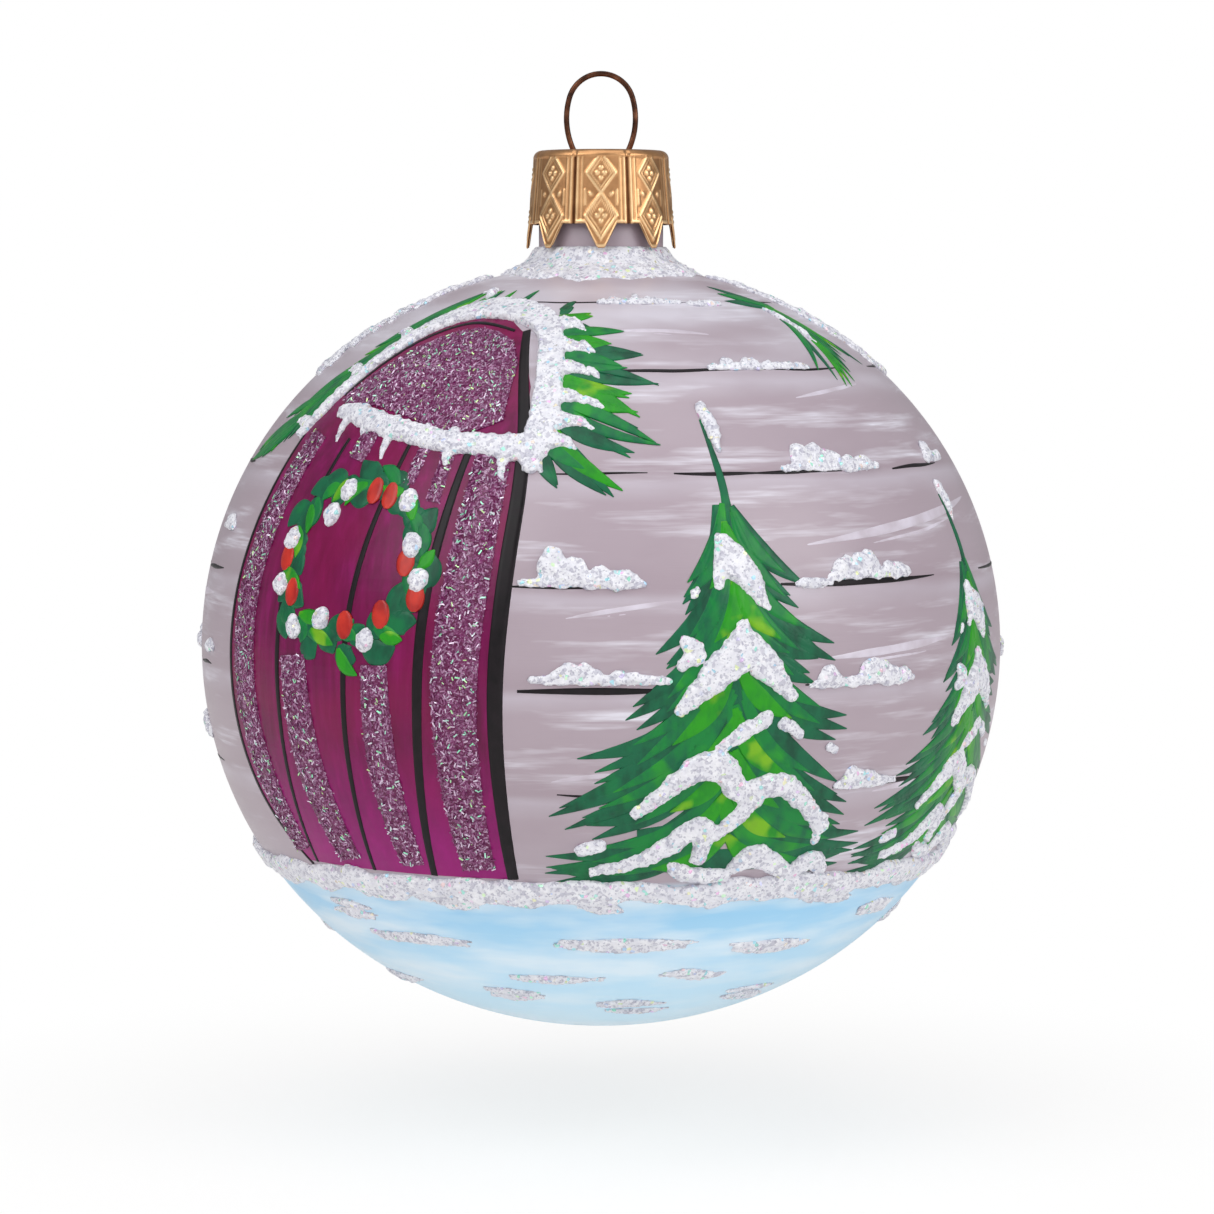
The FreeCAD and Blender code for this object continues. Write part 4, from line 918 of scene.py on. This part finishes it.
def build_snow():
    """Everything of snow paste, in pieces that stand for the paste nodes."""
    pick = random.Random(31)
    ledges = []
    for azimuth, height, width, rise in [
        (12, 35.0, 8.0, 2.6), (33, 34.8, 3.6, 1.4), (150, 34.6, 6, 1.8), (-118, 34.7, 5.5, 1.8),
        (34, 28.9, 11.5, 2.4), (-5, 28.9, 1.4, 0.9), (-108, 28.8, 7.5, 2.4), (176, 28.8, 7, 2.4),
        (38.5, 19.7, 11.5, 4.0), (68, 20.0, 4.5, 3.0), (-73, 13.3, 3.0, 3.4),
        (-122, 19.4, 8.5, 3.0), (-2.6, 9.6, 11, 5.0), (30, 9.2, 3.2, 1.6), (40.5, 9.8, 10,
                                                                            3.6), (-128, 9.4, 8, 3.4),
        (0.0, 0.8, 12.5, 2.8), (38, 0.0, 12.5, 4.2), (-90, 1.2, 5.0, 3.4), (-140, 0.2, 9,
                                                                            2.8), (90, 0.2, 7, 2.8),
        (40.2, -9.7, 7.5, 3.0), (-84, -7.5, 4.6, 3.4), (-152, -9.8, 7, 2.8), (158, -9.8, 6,
                                                                              2.8), (-73, 1.5, 2.4, 3.0),
    ]:
        ledges += ledge(pick, azimuth, height, width, rise)
    heap("ledge_snow", ledges, nodes_like("eave_snow", "top_log", "second_log", "third_log", "fourth_log",
                                          "fifth_log"), voxel=0.17, seed=2)

    right, left = DOOR_EDGE
    arch = [
        bead([(-60.5, 21.4), (-57.5, 24.3), (-53.5, 28.2), (-49, 30.8), (-43, 32.7), (-35, 33.6),
              (-27, 33.6),
              (-20, 33.2), (-12.4, 32.2), (-9.8, 28.8), (-9.5, 24.5), (-10.0, 20.8), (-11.6, 19.2)],
             (0.8, 1.0, 1.0, 1.2, 1.5, 1.8, 1.9, 1.9, 2.1, 2.0, 1.9, 1.8, 1.0)),
        bead([(-52, 24.0), (-47, 23.9), (-40, 22.9), (-33, 22.2), (-26, 21.4), (-20, 21.3), (-14, 20.9),
              (-11, 21)],
             (0.8, 1.2, 1.3, 1.2, 1.2, 1.2, 1.5, 1.6)),
    ]
    for azimuth, start, end, width in ((-48.5, 24, 21.2, 0.8), (-43, 23.4, 21.8, 0.9),
                                       (-36.8, 23, 19.8, 0.85),
                                       (-30, 22.6, 21.0, 0.7), (-24.5, 22, 19.2, 0.9), (-15, 21.5, 17.8,
                                                                                        0.9)):
        arch.append(bead([(azimuth, start), (azimuth - 0.2, (start + end) / 2), (azimuth, end)],
                         (width, width * 0.85, 0.25)))
    for azimuth, height, reach in ((-10, 32.2, 6.5), (-9.5, 30.2, 7.2), (-9, 28.2, 7.0), (-8.8, 25.6, 6.4),
                                   (-8.6, 23.4, 7.4), (-9.0, 21.6, 5.0), (-10.5, 19.6, 1.5)):
        arch.append(bead([(azimuth, height), (azimuth + reach * 0.6, height + 0.1),
                          (azimuth + reach, height - 0.7)], (1.2, 0.8, 0.25)))
    for azimuth, height in ((-56, 27.5), (-52, 31), (-40, 34.9), (-60, 22.5)):
        arch.append(bead([(azimuth, height), (azimuth - 2.5, height + 0.5), (azimuth - 5, height + 0.2)],
                         (0.9, 0.7, 0.3)))
    heap("door_arch_paste", arch, ["door_arch_snow"], voxel=0.17, seed=3)

    line = []
    count = 120
    around = [(-180 + 360 * i / count, GROUND - 1.4 + pick.uniform(-0.4, 0.4)) for i in range(count + 1)]
    line.append(bead(around, [pick.uniform(1.0, 1.75) for _ in around]))
    for _ in range(70):
        azimuth = pick.uniform(-178, 178)
        length = pick.uniform(3, 9)
        height = GROUND - 1.5 + pick.uniform(-1.6, 0.9)
        line.append(bead([(azimuth, height), (azimuth + length / 2, height + pick.uniform(-0.3, 0.3)),
                          (azimuth + length, height - 0.2)], (0.35, pick.uniform(0.5, 0.95), 0.25)))
    heap("ground_line_paste", line, ["snow_ground_line"], voxel=0.24, seed=4)

    drifts = []
    for azimuth, height, length in ((-36, -26.4, 18), (-50, -23.8, 9), (4, -25.8, 20), (34, -26.8, 15),
                                    (-8, -29.6, 17), (20, -28.9, 10), (-22, -31.6, 12), (86, -26.2, 20),
                                    (132, -25.6, 16), (178, -26.8, 20), (-128, -26, 19), (-86, -28.2, 16),
                                    (44, -32.6, 14), (-160, -32.2, 18), (110, -30.5, 16), (-60, -31.4, 14),
                                    (10, -33.4, 16), (60, -24.4, 10), (-110, -24.0, 10), (155, -30.0, 15)):
        length *= 1.2
        for _ in range(3):
            start, drop = azimuth - length / 2 + pick.uniform(-2, 2), height + pick.uniform(-0.7, 0.7)
            drifts.append(bead([(start, drop), (start + length * 0.5, drop + pick.uniform(-0.3, 0.4)),
                                (start + length, drop + pick.uniform(-0.4, 0.2))],
                               (0.35, pick.uniform(0.5, 0.8), 0.2)))
    heap("ground_drift_paste", drifts, ["ground_drifts"], voxel=0.2, roughen=0.1, seed=6)
    build_fir_snow()
    sill = [bead([(WINDOW - 17, 2.2), (WINDOW - 6, 1.9), (WINDOW + 6, 2.2), (WINDOW + 17, 1.8)],
                 (1.0, 1.3, 1.2, 0.9)),
            bead([(WINDOW - 15.5, 15), (WINDOW - 13.5, 20.5), (WINDOW - 7.5, 25), (WINDOW, 26.6),
                  (WINDOW + 7.5, 25),
                  (WINDOW + 13.5, 20.5), (WINDOW + 15.5, 15)], (0.5, 0.95, 1.2, 1.5, 1.2, 0.95, 0.5))]
    for across, drop in ((-13, 2.2), (-7, 3.2), (-1, 2.4), (6, 3.4), (12, 2.0)):
        sill.append(bead([(WINDOW + across, 2), (WINDOW + across, 2 - drop * 0.5),
                          (WINDOW + across, 2 - drop)],
                         (0.9, 0.7, 0.25)))
    heap("window_paste", sill, ["window_snow"], voxel=0.19, seed=9)
    sprigs = []
    for azimuth, height, reach in ((-3, 30.2, 3), (-1.5, 27.9, 2.2), (-2, 25.2, 5), (WINDOW + 28, 29.5, 6),
                                   (-96, 31, 7)):
        sprigs.append(bead([(azimuth - reach / 2, height + 0.3), (azimuth, height),
                            (azimuth + reach / 2, height - 0.6)],
                           (0.35, 0.6, 0.3)))
    sprigs.append(bead([(55.5, 33.6), (57.5, 31.8), (58, 30.4)], (0.4, 0.75, 0.3)))
    for side in (-78, 78):
        for i in range(20):
            height = 36.4 - 0.46 * i
            drift = side + 0.3 * i * math.copysign(1, side) + pick.uniform(-3, 3)
            sprigs.append(bead([(drift - 4, height + 0.3), (drift, height), (drift + 4, height - 0.4)],
                               (0.4, pick.uniform(0.55, 0.95), 0.35)))
    heap("sprig_paste", sprigs, ["sprig_snow"], voxel=0.16, roughen=0.1, seed=10)


# Snow on the front fir: strokes of (across from the trunk, height) in millimetres, with half-widths.
FIR_SNOW = [
    ([(-0.3, 24.4), (0.3, 22.8), (0.5, 20.8)], (0.85, 0.95, 0.4)),
    ([(-0.8, 12.6), (0.1, 10.8), (1.6, 9.2)], (0.9, 1.9, 1.3)), ([(-0.6, 11.5), (-1.4, 8.8)], (1.2, 0.6)),
    ([(1.0, 10), (2.6, 7.6), (3.4, 6.4)], (1.2, 0.9, 0.3)), ([(-3.6, 8.2), (-4.0, 7.6)], (0.5, 0.3)),
    ([(-4.6, 3.4), (-3.4, 2.6), (-5.0, 1.6)], (0.8, 1.0, 0.7)),
    ([(0.8, 4.8), (0.6, 2.6), (-2.0, 0.6), (-5.2, -2.6)], (0.9, 1.9, 1.6, 0.7)),
    ([(1.2, 3.6), (2.6, 1.4), (5.6, -1.6)], (1.2, 1.7, 0.6)),
    ([(3.0, -3.6), (0.8, -4.8), (-1.4, -6.2)], (0.8, 0.9, 0.6)), ([(5.0, -4.2), (6.6, -5.2)], (0.8, 0.5)),
    ([(10.2, -6.6), (10.7, -6.9)], (0.5, 0.4)),
    ([(-9.6, -12.6), (-6.6, -10.2), (-3.4, -7.8), (-1.0, -7.8), (0.6, -10.4), (1.8, -10.6), (5.0, -9.4),
      (9.0, -12.6), (11.0, -14.6)], (0.6, 0.9, 1.4, 1.6, 1.1, 1.2, 1.3, 0.9, 0.9)),
    ([(2.6, -10.8), (0.6, -13.2), (-1.4, -14.8)],
     (1.1, 0.9, 0.7)), ([(10.6, -13.6), (10.4, -15.6)], (0.8, 0.6)),
    ([(-14.6, -15.8), (-12.8, -15.4)], (0.7, 0.8)),
    ([(-13.8, -18.0), (-9.6, -17.4), (-5.6, -15.4), (-2.6, -13.2), (-2.0, -14.8), (-2.8, -17.2)],
     (0.6, 0.7, 1.1, 1.2, 1.2, 0.9)),
    ([(-5.0, -17.6), (-3.4, -18.4), (0.6, -18.6)], (0.8, 1.0, 0.8)),
    ([(1.6, -17.8), (3.2, -16.4), (5.4, -17.4), (8.0, -18.8)], (0.9, 1.4, 1.2, 0.9)),
    ([(8.6, -18.8), (10.6, -17.2), (12.4, -18.6)], (0.9, 1.2, 0.9)),
]


def build_fir_snow():
    """The front fir's snow, drawn again to size on each of the firs."""
    for number, (_, azimuth, top, _, breadth, _, node) in enumerate(FIRS):
        place = on_fir(azimuth, top, breadth)
        strokes = [([place(across, height) for across, height in places],
                    [width * (0.35 + 0.65 * breadth) for width in widths]) for places, widths in FIR_SNOW]
        heap(node.replace("tree_snow", "fir_paste"), strokes, [node], voxel=0.16, seed=20 + number)


def build_collar():
    """The rough ring of snow paste round the root of the neck."""
    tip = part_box("cap_crown")[0].z / MM - CENTRE_Z
    profile = [(5.95, tip + 0.2), (6.5, tip + 0.15), (6.85, tip - 0.2), (7.2, tip - 0.8), (7.7, tip - 1.35),
               (8.1, tip - 1.6), (8.6, tip - 1.85), (9.2, tip - 2.15), (9.8, tip - 2.5), (10.1, tip - 3.0),
               (9.7, tip - 3.4), (8.3, tip - 2.9), (7.2, tip - 2.0), (6.1, tip - 0.9)]
    work = bmesh.new()
    verts = [work.verts.new((r, 0, z)) for r, z in profile]
    for a, b in zip(verts, verts[1:] + verts[:1]):
        work.edges.new((a, b))
    bmesh.ops.subdivide_edges(work, edges=work.edges[:], cuts=2)
    spin(work, 260)
    bmesh.ops.recalc_face_normals(work, faces=work.faces)
    work.normal_update()
    for vert in work.verts:
        reach = vert.co.xy.length
        if reach > 6.3:
            outer = min(1.0, max(0.0, (reach - 7.2) / 2.0))
            broad, fine = noise.noise(vert.co * 0.9), noise.noise(vert.co * 2.2)
            lump = broad * 0.4 * outer + fine * (0.08 + 0.24 * outer)
            spill = (abs(vert.co.y) / reach) ** 2 * 0.16 + 0.12 * noise.noise(Vector((*vert.co.xy * 0.45,
                                                                                      3)))
            vert.co.z -= max(0, (reach * (1 + spill * outer)) ** 2 - reach ** 2) / (2 * POLE_ARC)
            vert.co.xy *= 1 + spill * outer
            vert.co += vert.normal * lump * 0.8
    mesh = mesh_of(work, "collar_paste")
    for vert in mesh.vertices:
        vert.co = Vector((vert.co.x, vert.co.y, vert.co.z + CENTRE_Z)) * MM
    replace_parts(piece("collar_paste", mesh, SNOW), "snow_collar")


def ridge(distance, half):
    """1 on a line and 0 at half its width from it, rounded between."""
    return max(0.0, 1 - (distance / half) ** 2)


def cap_relief(across, down, edge):
    """Height of the stamped pattern on one panel: two diamonds with a flower in each, and its borders."""
    height = 0.0
    side = abs(across)
    for centre, half_width, half_height in ((2.35, 1.5, 1.95), (6.55, 1.55, 2.25)):
        shape = side / half_width + abs(down - centre) / half_height
        height = max(height, ridge((shape - 1.0) * 1.1, 0.15), 0.7 * ridge((shape - 0.72) * 1.1, 0.09))
        for turn in range(4):
            bead_x, bead_y = 0.36 * math.cos(turn * math.pi / 2), 0.5 * math.sin(turn * math.pi / 2)
            height = max(height, 1.2 * ridge(math.hypot(across - bead_x, down - centre - bead_y), 0.3))
    height = max(height, ridge(math.hypot(side - 1.05, down - 4.4), 0.28),
                 0.8 * ridge(side - 1.6, 0.11) if abs(down - 4.75) < 0.8 else 0)
    height = max(height, ridge(side - 2.44, 0.12), 0.7 * ridge(side - 2.0, 0.1))
    height = max(height, 0.9 * ridge(edge - down - 0.22, 0.18))
    if side > 2.62:
        height = -0.9 * min(1.0, (side - 2.62) / 0.1)
    return height


def build_cap():
    """The stamped cap: plate, rounded corner and skirt with its embossed panels and pointed teeth."""
    low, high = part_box("cap_crown")
    top, reach = high.z / MM, (high.x - low.x) / 2 / MM
    skirt_top, corner, wall = reach - 0.75, 0.8, 0.26
    tall, straight, tooth_half, panels = (high.z - low.z) / MM, 7.3, 1.55, 8
    columns, rows, plate_end, corner_end = panels * 40, 78, 0.12, 0.2
    work = bmesh.new()
    bmesh.ops.create_grid(work, x_segments=columns, y_segments=rows, size=1.0)
    level = work.verts.layers.float.new("relief")
    plate = skirt_top - corner
    for vert in work.verts:
        turn = vert.co.x * math.pi
        share = (1 - vert.co.y) / 2
        pitch = 360 / panels
        panel = (math.degrees(turn) + pitch / 2 + 360) % pitch - pitch / 2
        across = math.radians(panel) * 7.1
        tooth = max(0.0, 1 - abs(across) / tooth_half)
        edge = straight + (tall - straight) * min(1.0, tooth * 1.3)
        relief = 0.0
        if share < plate_end:
            radius, height = plate * share / plate_end, top
        elif share < corner_end:
            lean = (share - plate_end) / (corner_end - plate_end) * math.pi / 2
            radius, height = plate + corner * math.sin(lean), top - corner + corner * math.cos(lean)
        else:
            down = corner + (edge - corner) * (share - corner_end) / (1 - corner_end)
            flare = 0.75 * (down - corner) / (tall - corner)
            relief = cap_relief(across, down, edge)
            radius, height = skirt_top + flare - 0.12 + 0.12 * relief, top - down
        if plate_end <= share < corner_end and abs(across) > 2.6:
            radius -= 0.1
        vert[level] = 0.5 + 0.5 * relief if share >= corner_end else 0.55
        vert.co = Vector((radius * math.sin(turn), -radius * math.cos(turn), height)) * MM
    bmesh.ops.remove_doubles(work, verts=work.verts, dist=0.01 * MM)
    bmesh.ops.recalc_face_normals(work, faces=work.faces)
    shell = link("embossed_shell", mesh_of(work, "embossed_cap"))
    solid = shell.modifiers.new("sheet", "SOLIDIFY")
    solid.thickness, solid.offset = wall * MM, -1
    work = bmesh.new()
    for side in (-1, 1):
        bmesh.ops.create_cube(work, size=1.0, matrix=Matrix.Translation(Vector((side * 2.75, 0, top)) * MM)
                              @ Matrix.Diagonal((1.15 * MM, 0.85 * MM, 3 * MM, 1)))
    cutter = link("slot_cutter", mesh_of(work, "slot_cutter"))
    slots = shell.modifiers.new("slots", "BOOLEAN")
    slots.object, slots.operation = cutter, "DIFFERENCE"
    made = baked(shell)
    bpy.data.objects.remove(cutter)
    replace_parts(piece("embossed_cap", made, cap_finish(), body="cap"), "cap_crown")


def build_wire():
    """The hanger, drawn copper-brown wire: the construction's own shape with a smooth skin."""
    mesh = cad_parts["hanger_wire"].data.copy()
    tidy(mesh, merge=0.001 * MM)
    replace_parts(piece("drawn_wire", mesh, wire_finish(), body="hanger"), "hanger_wire")


WHITE = (1, 1, 1, 1)


def build_world():
    """Soft light from all round, seen as white by the camera and through glass."""
    world = bpy.data.worlds.new("studio")
    world.use_nodes = True
    bpy.context.scene.world = world
    tree = world.node_tree
    room = tree.nodes["Background"]
    room.inputs["Color"].default_value = (0.97, 0.98, 1.0, 1)
    room.inputs["Strength"].default_value = 0.34
    white = add_node(tree, "ShaderNodeBackground", {}, {"Color": WHITE, "Strength": 1.0})
    rays = add_node(tree, "ShaderNodeLightPath", {}, {})
    seen = add_node(tree, "ShaderNodeMath", dict(operation="ADD", use_clamp=True),
                    {0: rays.outputs["Is Camera Ray"], 1: rays.outputs["Is Transmission Ray"]})
    mixed = add_node(tree, "ShaderNodeMixShader", {},
                     {0: seen.outputs[0], 1: room.outputs[0], 2: white.outputs[0]})
    tree.links.new(mixed.outputs[0], tree.nodes["World Output"].inputs["Surface"])


def paper_finish():
    """White paper that keeps the shadow below the ball and fades to plain white round it. It also glows
    faintly to all rays, a painted bounce light that lifts the ball's lower side.
    """
    paper = bpy.data.materials.new("white_paper")
    paper.use_nodes = True
    tree = paper.node_tree
    shader = tree.nodes["Principled BSDF"]
    shader.inputs["Base Color"].default_value = (0.86, 0.84, 0.82, 1)
    shader.inputs["Roughness"].default_value = 0.9
    shader.inputs["Emission Color"].default_value = WHITE
    # A faint glow seen by all rays: painted bounce light from the floor onto the ball.
    shader.inputs["Emission Strength"].default_value = 0.14
    rays = add_node(tree, "ShaderNodeLightPath", {}, {})
    glow = add_node(tree, "ShaderNodeEmission", {}, {"Strength": 0.05})
    near = add_node(tree, "ShaderNodeAddShader", {}, {0: shader.outputs[0], 1: glow.outputs[0]})
    white = add_node(tree, "ShaderNodeEmission", {}, {})
    place = add_node(tree, "ShaderNodeTexCoord", {}, {})
    reach = add_node(tree, "ShaderNodeVectorMath", dict(operation="LENGTH"), {0: place.outputs["Object"]})
    away = add_node(tree, "ShaderNodeMapRange", dict(interpolation_type="SMOOTHSTEP"),
                    {"Value": reach.outputs["Value"], "From Min": 0.065, "From Max": 0.14})
    fade = add_node(tree, "ShaderNodeMixShader", {},
                    {0: away.outputs[0], 1: near.outputs[0], 2: white.outputs[0]})
    pick = add_node(tree, "ShaderNodeMixShader", {},
                    {0: rays.outputs["Is Camera Ray"], 1: shader.outputs[0], 2: fade.outputs[0]})
    tree.links.new(pick.outputs[0], tree.nodes["Material Output"].inputs["Surface"])
    return paper


def build_floor(centre):
    """A round pale floor, 49 mm below the ball's centre."""
    work = bmesh.new()
    bmesh.ops.create_circle(work, cap_ends=True, segments=96, radius=3.0,
                            matrix=Matrix.Translation((0, 0, centre.z - 0.049)))
    floor = link("floor", mesh_of(work, "floor"))
    floor.data.materials.append(paper_finish())


def build_lamps(centre):
    """Soft lamps, each (azimuth, elevation, distance, size, power)."""
    for name, azimuth, elevation, distance, size, power in (
            ("left_softbox", -48, 38, 0.75, 0.55, 2.3), ("right_softbox", 56, 26, 0.8, 0.5, 2.4),
            ("top_softbox", 10, 80, 0.7, 0.6, 1.5), ("front_fill", 4, 6, 1.1, 0.5, 1.0)):
        lamp = bpy.data.lights.new(name, "AREA")
        lamp.size, lamp.energy = size, power
        holder = link(name, lamp)
        a, e = math.radians(azimuth), math.radians(elevation)
        away = Vector((math.sin(a) * math.cos(e), -math.cos(a) * math.cos(e), math.sin(e)))
        holder.location = centre + away * distance
        holder.rotation_euler = away.to_track_quat("Z", "Y").to_euler()


def build_camera(centre):
    """The camera in front, looking 5 degrees down at the ball's middle."""
    camera = bpy.data.cameras.new("camera")
    camera.lens, camera.sensor_width = 117.8, 36
    camera.shift_x, camera.shift_y = 0.004942, 0.030478
    camera.clip_start = 0.01
    stand = link("camera", camera)
    lean, distance = math.radians(5), 0.4
    stand.location = centre + Vector((0, -math.cos(lean), math.sin(lean))) * distance
    stand.rotation_euler = Euler((math.pi / 2 - lean, 0, 0))
    bpy.context.scene.camera = stand


def light_and_camera():
    """A pale floor below the hanging ball, soft lamps, and the camera."""
    bpy.context.scene.view_settings.view_transform = "Standard"
    centre = Vector((0, 0, CENTRE_Z)) * MM
    build_world()
    build_floor(centre)
    build_lamps(centre)
    build_camera(centre)


light_and_camera()
paint_ball()
paint_light()
paint_seams()
build_door()
build_wreath()
build_firs()
build_sprigs()
build_window()
build_snow()
build_collar()
build_cap()
build_wire()
for shape in (BRUSH, BEAD, GEL_BED):
    bpy.data.objects.remove(shape)
